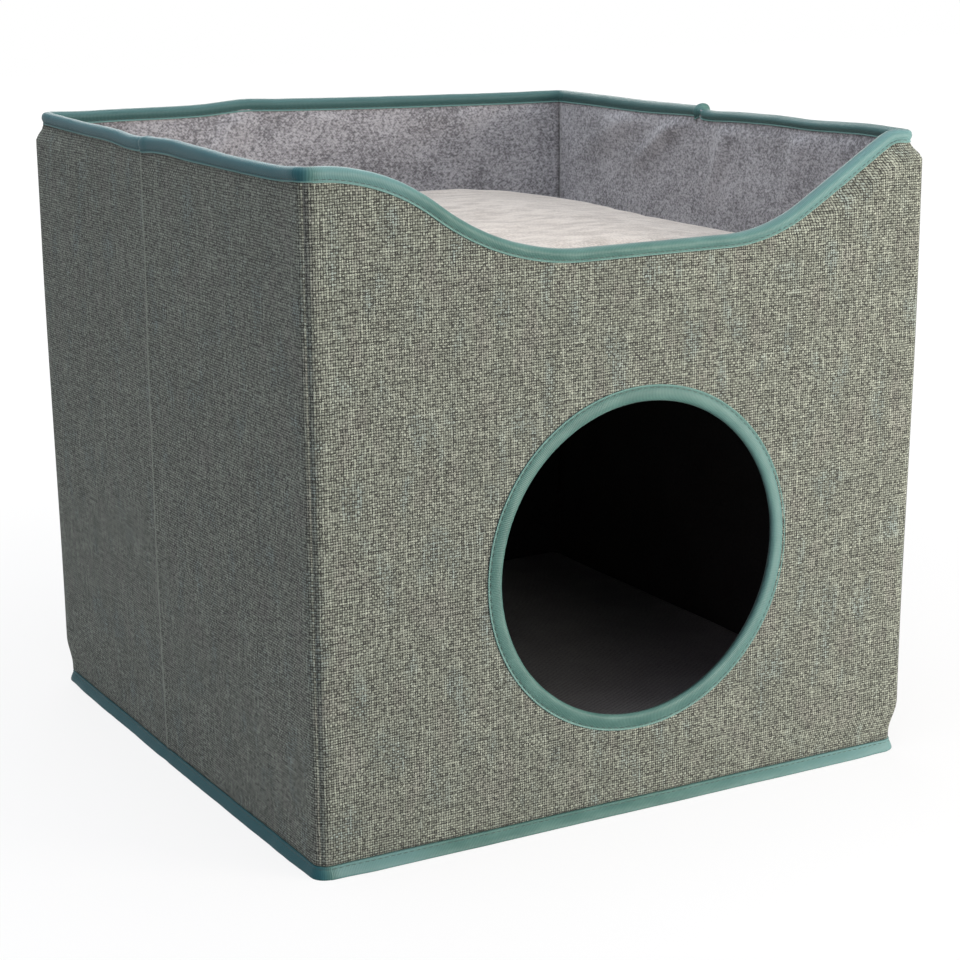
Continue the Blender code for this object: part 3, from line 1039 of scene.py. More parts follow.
@dataclass(frozen=True, kw_only=True)
class GripPile(Look):
    """Hook or loop tape: rows of small dark hooks or a mat of loops, on a UV map in metres."""

    relief: float = 0.0005
    pitch: float
    disorder: float
    low: Color = (0.012, 0.012, 0.013)
    high: Color = (0.075, 0.075, 0.078)

    def dress(self, g: Graph) -> tuple[Value, Value]:
        """Works out the tips of the hooks or loops.

        Args:
            g: The material's nodes.

        Returns:
            The colour, and the height from 0 to 1.
        """
        u, v, _ = g.axes("UV")
        point = g.joined(u / self.pitch, v / self.pitch)
        away = g.node("TexVoronoi", "Distance", {"Vector": point, "Scale": 1.0, "Randomness": self.disorder})
        tip = g.step(away, 0.45, 0.15)
        return g.mix(tip, self.low, self.high), tip


@dataclass(frozen=True, kw_only=True)
class Thread(Look):
    """Twisted sewing thread."""

    name: str = "binding_thread"
    roughness: float = 0.55
    relief: float = 0.0001
    color: Color = (0.045, 0.090, 0.080)

    def dress(self, g: Graph) -> tuple[Value, Value]:
        """Works out the twisted plies.

        Args:
            g: The material's nodes.

        Returns:
            The colour, and the height from 0 to 1.
        """
        x, y, z = g.axes("Object")
        ply = g.grain((x + z) * 2600.0, (y + z) * 2600.0, (x - y) * 2600.0)
        dim = tuple(0.6 * part for part in self.color)
        return g.mix(g.step(ply, 0.35, 0.65), dim, self.color), ply


class Finish(Enum):
    """The finishes, each with its slot in the record and the look that builds its material."""

    WEAVE = ("woven_cloth", Weave())
    FELT = ("grey_felt", Felt())
    TAPE = ("satin_tape", SatinTape())
    PLUSH = ("plush", Plush())
    RIBBED = ("ribbed_mat", RibbedCloth())
    LINING = ("dark_lining", PlainCloth())
    BOARD = ("grey_board", Board())
    LOOPS = ("loop_tape", GripPile(name="loop_pile", pitch=0.0008, disorder=1.0, roughness=0.95))
    HOOKS = ("hook_tape", GripPile(name="hook_rows", pitch=0.0013, disorder=0.15, roughness=0.5))
    THREAD = ("satin_tape", Thread())

    @property
    def slot(self) -> str:
        """The finish's slot in the record."""
        return self.value[0]

    @cache
    def material(self) -> bpy.types.Material:
        """The finish's material, built once."""
        return self.value[1].make()


def linked(name: str, data: bpy.types.ID) -> bpy.types.Object:
    """Puts an object with a mesh, lamp or camera into the scene.

    Args:
        name: The object's name.
        data: Its mesh, lamp or camera.

    Returns:
        The object.
    """
    obj = bpy.data.objects.new(name, data)
    bpy.context.scene.collection.objects.link(obj)
    return obj


def as_mesh(bm: bmesh.types.BMesh, name: str) -> bpy.types.Mesh:
    """Turns a bmesh, which is freed, into a mesh.

    Args:
        bm: The bmesh.
        name: The mesh's name.

    Returns:
        The mesh.
    """
    mesh = bpy.data.meshes.new(name)
    bm.to_mesh(mesh)
    bm.free()
    return mesh


def unfold(bm: bmesh.types.BMesh, flat: Callable[[Vector], tuple[float, float]]) -> None:
    """Gives a bmesh its UV map in metres, worked out from the place of each point.

    Args:
        bm: The bmesh.
        flat: Gives the UV in metres for a point.
    """
    layer = bm.loops.layers.uv.new("flat")
    for face in bm.faces:
        for loop in face.loops:
            loop[layer].uv = flat(loop.vert.co)


def face_up(bm: bmesh.types.BMesh) -> None:
    """Turns the faces of a bmesh alike, so that most of them look up.

    Args:
        bm: The bmesh.
    """
    bmesh.ops.recalc_face_normals(bm, faces=bm.faces[:])
    if sum(f.normal.z * f.calc_area() for f in bm.faces) < 0:
        bmesh.ops.reverse_faces(bm, faces=bm.faces[:])


@dataclass(frozen=True)
class Piece:
    """How a finished mesh is named, dressed and carried, and the CAD node that it replaces."""

    name: str
    body: Body
    finish: Finish
    node: str = ""
    thickness: float = 0.0

    def make(self, shape: bmesh.types.BMesh | bpy.types.Mesh) -> bpy.types.Object:
        """Makes the object.

        Args:
            shape: The mesh, in its final place. A bmesh is freed.

        Returns:
            The object, riding on its body.
        """
        mesh = as_mesh(shape, self.name) if isinstance(shape, bmesh.types.BMesh) else shape
        mesh.materials.clear()
        mesh.materials.append(self.finish.material())
        mesh.polygons.foreach_set("use_smooth", [True] * len(mesh.polygons))
        obj = linked(self.name, mesh)
        if self.thickness:
            solid = obj.modifiers.new("thickness", "SOLIDIFY")
            solid.thickness = self.thickness
            solid.offset = -1.0
        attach(obj, self.body.value)
        self.finish.slot
        if self.node:
            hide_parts(self.node)
        LOG.info("%s: %d faces on %s", self.name, len(mesh.polygons), self.body.value)
        return obj


def mapped(
    columns: int,
    rows: int,
    place: Callable[[float, float], Vector],
    flat: Callable[[float, float], tuple[float, float]],
) -> bmesh.types.BMesh:
    """A grid laid over a surface.

    Args:
        columns: The number of cells in the first direction.
        rows: The number of cells in the second direction.
        place: Gives the point for two shares from 0 to 1.
        flat: Gives the UV in metres for the same two shares.

    Returns:
        The mesh, with its UV map.
    """

    def shares(co: Vector) -> tuple[float, float]:
        """The shares from 0 to 1 of a point of the grid."""
        return round(co.x + 0.5, 6), round(co.y + 0.5, 6)

    bm = bmesh.new()
    bmesh.ops.create_grid(bm, x_segments=columns, y_segments=rows, size=0.5)
    unfold(bm, lambda co: flat(*shares(co)))
    for vert in bm.verts:
        vert.co = place(*shares(vert.co))
    return bm


def soft_block(low: Vector, high: Vector, radius: float, cuts: int) -> bmesh.types.BMesh:
    """A block with rounded edges and an even net of faces, closer towards the edges.

    Args:
        low: Its lowest corner.
        high: Its highest corner.
        radius: The radius of its edges.
        cuts: The number of cuts through each edge of the starting cube.

    Returns:
        The mesh, closed and facing outwards.
    """
    bm = bmesh.new()
    bmesh.ops.create_cube(bm, size=2.0)
    bmesh.ops.subdivide_edges(bm, edges=bm.edges[:], cuts=cuts, use_grid_fill=True)
    middle = (low + high) / 2
    half = (high - low) / 2
    core = Vector(max(h - radius, 0.0) for h in half)
    for vert in bm.verts:
        spread = Vector(math.sin(c * math.pi / 2) * h for c, h in zip(vert.co, half))
        near = Vector(held_in(s, -c, c) for s, c in zip(spread, core))
        away = spread - near
        vert.co = middle + near + (away.normalized() * radius if away.length else away)
    return bm


@dataclass(frozen=True)
class Wrinkle:
    """A soft fold in the felt: a ridge from one point of the wall to another, as (run, height)."""

    start: tuple[float, float]
    end: tuple[float, float]
    rise: float
    width: float

    def height(self, run: float, z: float) -> float:
        """How far the fold stands off the wall.

        Args:
            run: The way along the wall.
            z: The height.

        Returns:
            The distance from the wall, which fades out at both ends of the fold.
        """
        line = Vector(self.end) - Vector(self.start)
        offset = Vector((run, z)) - Vector(self.start)
        share = held_in(offset.dot(line) / line.length_squared, 0.0, 1.0)
        away = (offset - line * share).length
        side = math.copysign(1.0, line.x * offset.y - line.y * offset.x)
        shape = hump(away, 0.0, self.width * (0.7 if side > 0 else 1.3))
        return self.rise * shape * (0.35 + 0.65 * math.sin(math.pi * (0.15 + 0.8 * share)))


FOLDS = {
    Side.RIGHT: (
        Wrinkle((0.030, 0.383), (0.090, 0.346), 0.0040, 0.0060),
        Wrinkle((-0.020, 0.384), (0.002, 0.330), 0.0034, 0.0065),
        Wrinkle((0.085, 0.383), (0.150, 0.352), 0.0024, 0.0085),
        Wrinkle((-0.100, 0.384), (-0.080, 0.330), 0.0024, 0.0080),
    ),
    Side.BACK: (
        Wrinkle((0.060, 0.384), (0.095, 0.340), 0.0022, 0.0090),
        Wrinkle((-0.120, 0.384), (-0.100, 0.335), 0.0018, 0.0100),
    ),
    Side.LEFT: (
        Wrinkle((-0.040, 0.383), (-0.085, 0.345), 0.0018, 0.0080),
        Wrinkle((0.025, 0.384), (0.050, 0.335), 0.0015, 0.0090),
    ),
    Side.FRONT: (),
}


@dataclass(frozen=True)
class Wall:
    """One wall: its outer woven cloth, its stiff boards, its felt round the bed and its cave lining."""

    shell: Shell
    entry: Entry
    side: Side
    cover_cell: float = 0.0033
    felt_cell: float = 0.0035
    lining_cell: float = 0.006
    board_cell: float = 0.008
    board_depth: float = 0.0018

    @property
    def half_inside(self) -> float:
        """Half the length of the inner face."""
        return self.shell.half(self.side) - self.shell.wall

    @property
    def panels(self) -> list[str]:
        """The names of the boards, of which a side wall has two that meet at its fold."""
        parts = [""] if self.side.crosswise else ["front_", "rear_"]
        return [f"{self.side.word}_{part}panel" for part in parts]

    def net(
        self,
        runs: tuple[float, float],
        heights: tuple[float, float],
        cell: float,
        place: Callable[[float, float], Vector],
        shift: tuple[float, float] = (0.0, 0.0),
        level: bool = False,
    ) -> bmesh.types.BMesh:
        """An even net over a part of the wall.

        Args:
            runs: Where it starts and ends along the wall.
            heights: Its foot and its highest place.
            cell: The size of its cells.
            place: Gives the point for a run and a height.
            shift: What the UV map adds to the run and the height.
            level: Whether it ends level, and not at the sagging rim.

        Returns:
            The mesh, with its UV map.
        """
        (first, last), (low, high) = runs, heights

        def spot(a: float, b: float) -> tuple[float, float]:
            """Where a point of the net lies.

            Args:
                a: The share of the way along the net.
                b: The share of the way up.

            Returns:
                The run and the height.
            """
            run = first + a * (last - first)
            top = high if level else self.shell.top(self.side, run)
            return run, low + b * (top - low)

        def flat(a: float, b: float) -> tuple[float, float]:
            """The UV of a point of the net."""
            run, z = spot(a, b)
            return run + shift[0], z + shift[1]

        columns, rows = (round(abs(length) / cell) for length in (last - first, high - low))
        return mapped(columns, rows, lambda a, b: place(*spot(a, b)), flat)

    def cover(self) -> None:
        """Makes the outer cloth, sewn to its neighbours in the middle of the corners."""
        shell, side = self.shell, self.side
        seam = shell.seam(side)

        def place(run: float, z: float) -> Vector:
            """A point of the cloth."""
            return shell.place(side, run, shell.swell(side, run, z), z) + shell.puff(side, run, z)

        heights = (shell.foot, shell.rim)
        shift = (1.0 + side.value * 0.731, 0.2)
        bm = self.net((-seam, seam), heights, self.cover_cell, place, shift)
        width = 2 * seam
        height = shell.rim - shell.foot
        area = width * height
        if side is Side.FRONT:
            self.entry.cut(bm, self.cover_cell, margin=0.0016)
            area -= math.pi * self.entry.radius**2
            steps = 200
            drops = [shell.rim - shell.top(side, (i / steps - 0.5) * width) for i in range(steps)]
            area -= sum(drops) * (width / steps)
        word = side.word
        obj = Piece(f"{word}_cloth", Body.SHELL, Finish.WEAVE, f"{word}_cover", thickness=0.001).make(bm)
        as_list(self.panels)

    def loose(self, run: float, z: float) -> float:
        """How far the felt stands off the wall.

        Args:
            run: The way along the wall.
            z: The height.

        Returns:
            The distance from the wall, nothing under the tape and behind the shelf.
        """
        top = self.shell.top(self.side, run)
        tape = ease(top - 0.005, top - 0.015, z)
        shelf = ease(self.shell.shelf - 0.001, self.shell.shelf + 0.021, z)
        corner = ease(0.0, 0.020, self.half_inside - abs(run))
        waves = 0.0008 + 0.0013 * ripple(run, z, self.side.value + 40.0, 0.045)
        waves += 0.0005 * ripple(run, z, self.side.value + 60.0, 0.014)
        folds = sum(fold.height(run, z) for fold in FOLDS[self.side])
        return max(waves + folds, 0.0) * tape * shelf * corner

    def facing(self) -> None:
        """Makes the felt round the bed."""
        shell, side, low, half = self.shell, self.side, self.shell.facing_low, self.half_inside

        def place(run: float, z: float) -> Vector:
            """A point of the felt."""
            return shell.inside(side, run, self.loose(run, z), z)

        shift = (1.0 + side.value * 0.619, 0.3)
        bm = self.net((half, -half), (low, shell.rim), self.felt_cell, place, shift)
        word = side.word
        obj = Piece(f"{word}_felt", Body.SHELL, Finish.FELT, f"{word}_facing", thickness=0.0014).make(bm)
        width = 2 * half
        height = shell.rim - low
        drop = shell.dip.depth * 0.55 if side is Side.FRONT else 0.0
        width * (height - drop)

    def lining(self) -> None:
        """Makes the dark lining of the cave."""
        shell, side, half = self.shell, self.side, self.half_inside
        low, high = shell.foot, shell.facing_low - 0.0003

        def place(run: float, z: float) -> Vector:
            """Finds a point of the lining, slack between its edges.

            Args:
                run: The way along the wall from its middle.
                z: The height.

            Returns:
                The point.
            """
            calm = ease(0.0, 0.03, half - abs(run)) * ease(0.04, 0.07, z) * ease(high, high - 0.03, z)
            waves = 0.0008 * (1.0 + ripple(run, z, side.value + 80.0, 0.06))
            if side is Side.FRONT:
                calm *= ease(0.006, 0.02, self.entry.beyond(run, z))
            return shell.inside(side, run, calm * waves, z)

        shift = (1.0, 0.2 - low)
        bm = self.net((half, -half), (low, high), self.lining_cell, place, shift, level=True)
        width = 2 * half
        area = width * (high - low)
        if side is Side.FRONT:
            area -= math.pi * self.entry.radius**2
            self.entry.cut(bm, self.lining_cell, margin=0.0046)
        name, node = f"{side.word}_cave_cloth", f"{side.word}_lining"
        obj = Piece(name, Body.SHELL, Finish.LINING, node, thickness=0.0014).make(bm)

    def board(self, name: str) -> None:
        """Makes a stiff board, bowed with the wall and cut along its rim.

        Args:
            name: The board's name.
        """
        shell, side = self.shell, self.side
        node = name.replace("panel", "board")
        low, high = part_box(node)
        flat = shell.flat(side)

        def place(run: float, z: float) -> Vector:
            """Finds a point of the board, square at its ends.

            Args:
                run: The way along the wall from its middle.
                z: The height.

            Returns:
                The point.
            """
            near = held_in(run, -flat, flat)
            point = shell.place(side, near, shell.bow(side, run, z) - self.board_depth, z)
            return point + side.along * (run - near)

        first, last = sorted(corner.dot(side.along) for corner in (low, high))
        bm = self.net((first, last), (low.z, high.z), self.board_cell, place)
        if side is Side.FRONT:
            self.entry.cut(bm, self.board_cell, margin=0.0036)
        Piece(name, Body.SHELL, Finish.BOARD, node, thickness=0.0023).make(bm)

    def build(self) -> None:
        """Makes the cloths and the boards."""
        self.cover()
        self.facing()
        self.lining()
        for name in self.panels:
            self.board(name)


@dataclass(frozen=True)
class Station:
    """One step along a run of binding tape."""

    place: Vector
    out: Vector
    up: Vector
    swell: float = 0.0
    pinch: float = 0.0
    width: float = 1.0


class Route:
    """The closed line of the edge that a tape is folded over."""

    def __init__(self, stations: list[Station]) -> None:
        """Measures the line.

        Args:
            stations: The stations, in the order of the line.
        """
        self.stations = stations
        self.marks = [0.0]
        for here, there in zip(stations, stations[1:] + stations[:1]):
            self.marks.append(self.marks[-1] + (there.place - here.place).length)
        self.length = self.marks[-1]

    def at(self, distance: float) -> Station:
        """The station at a distance along the line.

        Args:
            distance: From 0 to the length of the line.

        Returns:
            A blend of the stations on both sides.
        """
        low, high = 0, len(self.stations)
        while high - low > 1:
            middle = (low + high) // 2
            low, high = (middle, high) if self.marks[middle] <= distance else (low, middle)
        first = self.stations[low]
        second = self.stations[(low + 1) % len(self.stations)]
        t = (distance - self.marks[low]) / max(self.marks[low + 1] - self.marks[low], 1e-9)
        return Station(
            first.place.lerp(second.place, t),
            first.out.lerp(second.out, t).normalized(),
            first.up.lerp(second.up, t).normalized(),
            first.swell + (second.swell - first.swell) * t,
            first.pinch + (second.pinch - first.pinch) * t,
            first.width + (second.width - first.width) * t,
        )


@dataclass(frozen=True)
class Seam:
    """A row of stitches along a tape, at a point of its section."""

    across: float
    up: float
    lean: tuple[float, float]


@dataclass(frozen=True)
class Stitch:
    """One stitch of the sewing thread."""

    pitch: float = 0.0040
    length: float = 0.0030
    thread: float = 0.00042
    sides: int = 6
    rings: int = 4

    def shape(self) -> bpy.types.Mesh:
        """One stitch of unit size, to be copied.

        Returns:
            The mesh.
        """
        bm = bmesh.new()
        bmesh.ops.create_uvsphere(bm, u_segments=self.sides, v_segments=self.rings, radius=1.0)
        return as_mesh(bm, "one_stitch")

    def add(
        self, bm: bmesh.types.BMesh, shape: bpy.types.Mesh, centre: Vector, along: Vector, out: Vector
    ) -> None:
        """Adds one stitch.

        Args:
            bm: The mesh to add it to.
            shape: One stitch of unit size.
            centre: Its middle, on the tape.
            along: The direction of the seam.
            out: Away from the tape.
        """
        side = along.cross(out).normalized()
        radius = self.thread / 2
        turn = Matrix((side * radius, out * radius, along * self.length / 2)).transposed().to_4x4()
        one = shape.copy()
        one.transform(Matrix.Translation(centre) @ turn)
        bm.from_mesh(one)
        bpy.data.meshes.remove(one)


@dataclass(frozen=True)
class Binding:
    """A tape folded over an edge, with its stitches.

    The section is its outline from its outer edge to its inner one, as (out, up), and wobble is how far
    it strays from its line. Half is half the thickness of the wall, and nothing for the tape on the ground.
    """

    word: str
    route: Route
    section: list[tuple[float, float]]
    seams: list[Seam]
    wobble: float
    half: float
    thickness: float = 0.0005
    stitch: Stitch = Stitch()

    def lift(self, station: Station, out: float, up: float) -> Vector:
        """The place of a point of the section at a station.

        Args:
            station: The station.
            out: The point's distance outwards.
            up: The point's distance upwards.

        Returns:
            The point in space.
        """
        follow = ease(-self.half, self.half, out) if self.half else 1.0
        ground = not self.half
        if ground:
            out *= station.width if out > 0.0 else 1.0
        elif up < 0.0:
            up *= station.width
        p = station.place
        stray = self.wobble * ripple(p.x + p.z * 0.3, p.y, 5.0, 0.028)
        stray += 0.5 * self.wobble * ripple(p.x, p.y + p.z, 9.0, 0.009)
        spread = Vector((out, up + 0.002)).normalized() * station.pinch
        out += station.swell * follow + spread.x + stray * 0.8
        up += spread.y + stray * ease(-0.009, 0.0, up) * (0.0 if ground else 1.0)
        point = p + station.out * out + station.up * up
        if ground:
            point.z = max(point.z, 0.0)
        return point

    def tape(self) -> None:
        """Makes the tape."""
        stations = self.route.stations
        count = len(stations)
        last = len(self.section) - 1
        girth = [0.0]
        for here, there in zip(self.section, self.section[1:]):
            girth.append(girth[-1] + math.dist(here, there))
        across = SatinTape.width / girth[-1]

        def place(a: float, b: float) -> Vector:
            """A point of the tape."""
            return self.lift(stations[round(a * count) % count], *self.section[round(b * last)])

        def flat(a: float, b: float) -> tuple[float, float]:
            """The UV of a point of the tape."""
            return self.route.marks[round(a * count)], girth[round(b * last)] * across

        bm = mapped(count, last, place, flat)
        bmesh.ops.remove_doubles(bm, verts=bm.verts[:], dist=1e-6)
        bmesh.ops.recalc_face_normals(bm, faces=bm.faces[:])
        outer = self.lift(stations[0], *self.section[0])
        face = min(bm.faces, key=lambda f: (f.calc_center_median() - outer).length)
        if face.normal.dot(stations[0].out) < 0:
            bmesh.ops.reverse_faces(bm, faces=bm.faces[:])
        Piece(f"{self.word}_tape", Body.SHELL, Finish.TAPE, f"{self.word}_binding", self.thickness).make(bm)

    def sew(self) -> None:
        """Makes the rows of stitches."""
        bm = bmesh.new()
        shape = self.stitch.shape()
        count = round(self.route.length / self.stitch.pitch)
        step = self.route.length / count
        for seam in self.seams:
            for i in range(count):
                ends = [self.route.at((i + share) * step % self.route.length) for share in (0.2, 0.8)]
                low, high = (self.lift(end, seam.across, seam.up) for end in ends)
                middle = ends[0]
                out = middle.out * seam.lean[0] + middle.up * seam.lean[1]
                centre = (low + high) / 2
                self.stitch.add(bm, shape, centre, (high - low).normalized(), out.normalized())
        Piece(f"{self.word}_stitches", Body.SHELL, Finish.THREAD).make(bm)


class Bindings:
    """The three tapes: round the rim, round the entry and round the foot."""

    rim_width = 0.0068
    entry_width = 0.0084
    entry_recede = 0.0026

    def __init__(self, shell: Shell, entry: Entry) -> None:
        """Keeps what the tapes follow.

        Args:
            shell: The walls.
            entry: The hole in the front wall.
        """
        self.shell = shell
        self.entry = entry
        self.half = shell.wall / 2

    def section(self, width: float, recede: float) -> list[tuple[float, float]]:
        """The outline of the tape over a wall: pillowed faces, a seam groove and a lifted edge.

        Args:
            width: How far the tape reaches down the wall.
            recede: How much further back the edge lies on the inner face than on the outer one.

        Returns:
            The points from the outer edge to the inner one, as (out, up).
        """
        h = self.half
        outer = [
            (h + 0.00085, -width), (h + 0.00050, -width + 0.0005), (h + 0.00038, -width + 0.0013),
            (h + 0.00085, -width + 0.0024), (h + 0.00125, -width * 0.45), (h + 0.00118, -0.0016),
            (h + 0.00070, -0.0002), (h - 0.00050, 0.0008), (h - 0.00150, 0.0011), (0.0, 0.0013),
        ]
        inner = [(-out, up) for out, up in reversed(outer[:-1])]
        return through([(o, up - recede * ease(h, -h, o)) for o, up in outer + inner], 2)

    def hem_section(self) -> list[tuple[float, float]]:
        """The outline of the hem: from under the wall, out over the lip, and flat on the ground.

        Returns:
            The points, as (out, up).
        """
        points = [
            (-0.0010, 0.0073), (0.0003, 0.0071), (0.0009, 0.0065), (0.0008, 0.0057), (0.0014, 0.0050),
            (0.0024, 0.0038), (0.0034, 0.0024), (0.0041, 0.0011), (0.0040, 0.0003), (0.0031, 0.0000),
            (0.0021, 0.0000), (0.0011, 0.0011), (-0.0002, 0.0032), (-0.0014, 0.0052),
        ]
        return through(points, 2)

    def pinch(self, side: Side, run: float) -> float:
        """How far the rim tape stands up or in where a side wall folds.

        Args:
            side: The wall.
            run: The way along it.

        Returns:
            The distance, along the tape's own outward direction.
        """
        fold = self.shell.fold(side)
        if side is Side.RIGHT:
            return 0.0024 * hump(run, fold, 0.0016) - 0.0010 * hump(run, fold - 0.0034, 0.0014)
        if side is Side.LEFT:
            return 0.0007 * hump(run, fold + 0.004, 0.005) - 0.0008 * hump(run, fold - 0.001, 0.0025)
        return 0.0

    def runs(self, side: Side) -> list[float]:
        """The steps along the flat part of a wall, closer at the fold of a side wall.

        Args:
            side: The wall.

        Returns:
            The runs, from left to right.
        """
        flat = self.shell.flat(side)
        count = 110 if side is Side.FRONT else 60
        steps = [(2 * i / count - 1) * flat for i in range(count + 1)]
        if side.crosswise:
            return steps
        fold = self.shell.fold(side)
        near = [fold + i * 0.0008 for i in range(-12, 13)]
        return sorted([s for s in steps if abs(s - fold) > 0.0105] + near)

    def rim_route(self) -> Route:
        """The middle of the walls' cut edge, round the top and through the dip.

        Returns:
            The closed line.
        """
        shell = self.shell
        stations = []
        for side in Side:
            for run in self.runs(side):
                step = 1e-4
                rise = shell.top(side, run + step) - shell.top(side, run - step)
                tilt = math.atan2(rise, 2 * step) if abs(run) < shell.flat(side) - step else 0.0
                up = Vector((0.0, 0.0, math.cos(tilt))) - side.along * math.sin(tilt)
                z = shell.top(side, run)
                bow = shell.bow(side, run, z)
                swell = shell.swell(side, run, z - 0.006) - bow
                middle = shell.place(side, run, bow - self.half, z)
                width = shell.tape_width(side, run) / self.rim_width
                stations.append(Station(middle, side.out, up, swell, self.pinch(side, run), width))
            following = Side((side.value + 1) % 4)
            ends = (shell.top(side, shell.flat(side)), shell.top(following, -shell.flat(following)))
            stations += self.corner(side, -self.half, *ends, shell.tape_width(side, 1.0) / self.rim_width)
        return Route(stations)

    def corner(self, side: Side, out: float, first: float, last: float, width: float) -> list[Station]:
        """The stations round the corner after a wall.

        Args:
            side: The wall.
            out: The distance outside the outer face.
            first: The height at this wall.
            last: The height at the next wall.
            width: The share of the tape's full width.

        Returns:
            The stations between the two flat walls.
        """
        shell = self.shell
        steps = 8
        core = side.along * shell.flat(side) + side.out * (shell.reach(side) - shell.corner)
        made = []
        for i in range(1, steps):
            turn = math.pi / 2 * i / steps
            away = side.out * math.cos(turn) + side.along * math.sin(turn)
            place = core + away * (shell.corner + out)
            place.z = first + (last - first) * i / steps
            made.append(Station(place, away, Vector((0.0, 0.0, 1.0)), width=width))
        return made

    def entry_route(self) -> Route:
        """The edge of the hole in the front wall.

        Returns:
            The closed line.
        """
        count = 168
        made = []
        for i in range(count):
            angle = 2 * math.pi * i / count
            ray = Vector((math.cos(angle), 0.0, math.sin(angle)))
            radius = self.entry.edge(angle) + 0.0013
            x = self.entry.x + ray.x * radius
            z = self.entry.z + ray.z * radius
            swell = self.shell.swell(Side.FRONT, self.entry.x + ray.x * 0.1, self.entry.z + ray.z * 0.1)
            place = Vector((x, self.half - self.shell.half_y, z))
            made.append(Station(place, Vector((0.0, -1.0, 0.0)), -ray, swell))
        return Route(made)

    def hem_route(self) -> Route:
        """The foot of the outer cloth, on the ground.

        Returns:
            The closed line.
        """
        shell = self.shell
        stations = []
        for side in Side:
            flat = shell.flat(side)
            count = 90
            for i in range(count + 1):
                run = (2 * i / count - 1) * flat
                swell = 0.8 * shell.swell(side, run, shell.foot)
                notch = 0.0
                if not side.crosswise:
                    notch = -0.0009 * hump(run, shell.fold(side), 0.004)
                place = shell.place(side, run, 0.0, 0.0)
                up = Vector((0.0, 0.0, 1.0))
                full = 0.78 if side is Side.LEFT else 1.0
                lip = full * (0.62 + 0.38 * ease(0.0, 0.03, flat - abs(run)))
                stations.append(Station(place, side.out, up, swell + notch, width=lip))
            stations += self.corner(side, 0.0, 0.0, 0.0, 0.55)
        return Route(stations)

    def seams(self, width: float, recede: float) -> list[Seam]:
        """The rows of stitches on both faces of a wall, in the groove near the edge of the tape.

        Args:
            width: How far the tape reaches down the wall.
            recede: How much further back its edge lies on the inner face.

        Returns:
            The outer row and the inner one.
        """
        out = self.half + 0.0005
        up = 0.0014 - width
        return [Seam(out, up, (1.0, 0.0)), Seam(-out, up - recede, (-1.0, 0.0))]

    def build(self) -> None:
        """Makes the three tapes with their stitches."""
        rim = (self.rim_width, 0.0)
        ring = (self.entry_width, self.entry_recede)
        foot = [Seam(0.00085, 0.00565, (0.7, 0.7))]
        for binding in (
            Binding("rim", self.rim_route(), self.section(*rim), self.seams(*rim), 0.00022, self.half),
            Binding("entry", self.entry_route(), self.section(*ring), self.seams(*ring), 0.00015, self.half),
            Binding("hem", self.hem_route(), self.hem_section(), foot, 0.00035, 0.0),
        ):
            binding.tape()
            binding.sew()


class BaseCloth:
    """The bottom cloth, flat under the floor, with a border that turns down into the hem."""

    around = 176
    rings = 67

    def __init__(self, shell: Shell) -> None:
        """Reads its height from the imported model."""
        self.shell = shell
        self.low, self.high = (corner.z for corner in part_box("base_cloth"))

    def build(self) -> None:
        """Makes the cloth."""
        shell = self.shell
        turn = 0.985
        under = 0.0006
        level = self.high - 0.0004

        def edge(a: float, out: float) -> Vector:
            """Finds a point round the foot of the walls.

            Args:
                a: The share of the way round.
                out: The distance outside the walls' faces.

            Returns:
                The point.
            """
            side = Side(int(a * 4) % 4)
            run = (2 * (a * 4 % 1.0) - 1) * shell.seam(side)
            return shell.place(side, run, out, 0.0)

        def place(a: float, b: float) -> Vector:
            """Finds a point of the cloth, turned down at its border.

            Args:
                a: The share of the way round.
                b: The share of the way out from the middle.

            Returns:
                The point.
            """
            if b <= turn:
                point = edge(a, -under) * (b / turn)
                point.z = level + min(0.0003 * ripple(point.x, point.y, 90.0, 0.05), 0.0)
                return point
            share = (b - turn) / (1.0 - turn)
            point = edge(a, 0.0030 * share - under)
            point.z = level - share * (self.high - self.low - under)
            return point

        def flat(a: float, b: float) -> tuple[float, float]:
            """The UV of a point of the cloth."""
            point = edge(a, 0.0) * b
            return point.x + 1.0, point.y + 1.0

        bm = mapped(self.around, self.rings, place, flat)
        bmesh.ops.remove_doubles(bm, verts=bm.verts[:], dist=1e-6)
        face_up(bm)
        obj = Piece("bottom_cloth", Body.SHELL, Finish.LINING, "base_cloth", thickness=0.0008).make(bm)


class Floor:
    """The loose scratch mat on its board."""

    crown = 0.0012
    sink = 0.0008

    def build(self) -> None:
        """Makes the mat."""
        low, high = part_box("scratch_mat")
        bm = soft_block(low, high, radius=0.009, cuts=44)
        for vert in bm.verts:
            share = (1.0 - (vert.co.x / high.x) ** 2) * (1.0 - (vert.co.y / high.y) ** 2)
            top = ease(low.z + 0.012, high.z, vert.co.z)
            dent = 0.0007 * ripple(vert.co.x, vert.co.y, 70.0, 0.05)
            vert.co.z += top * (self.crown * max(share, 0.0) ** 0.5 + dent - self.sink)
        obj = Piece("mat", Body.FLOOR, Finish.RIBBED, "scratch_mat").make(bm)


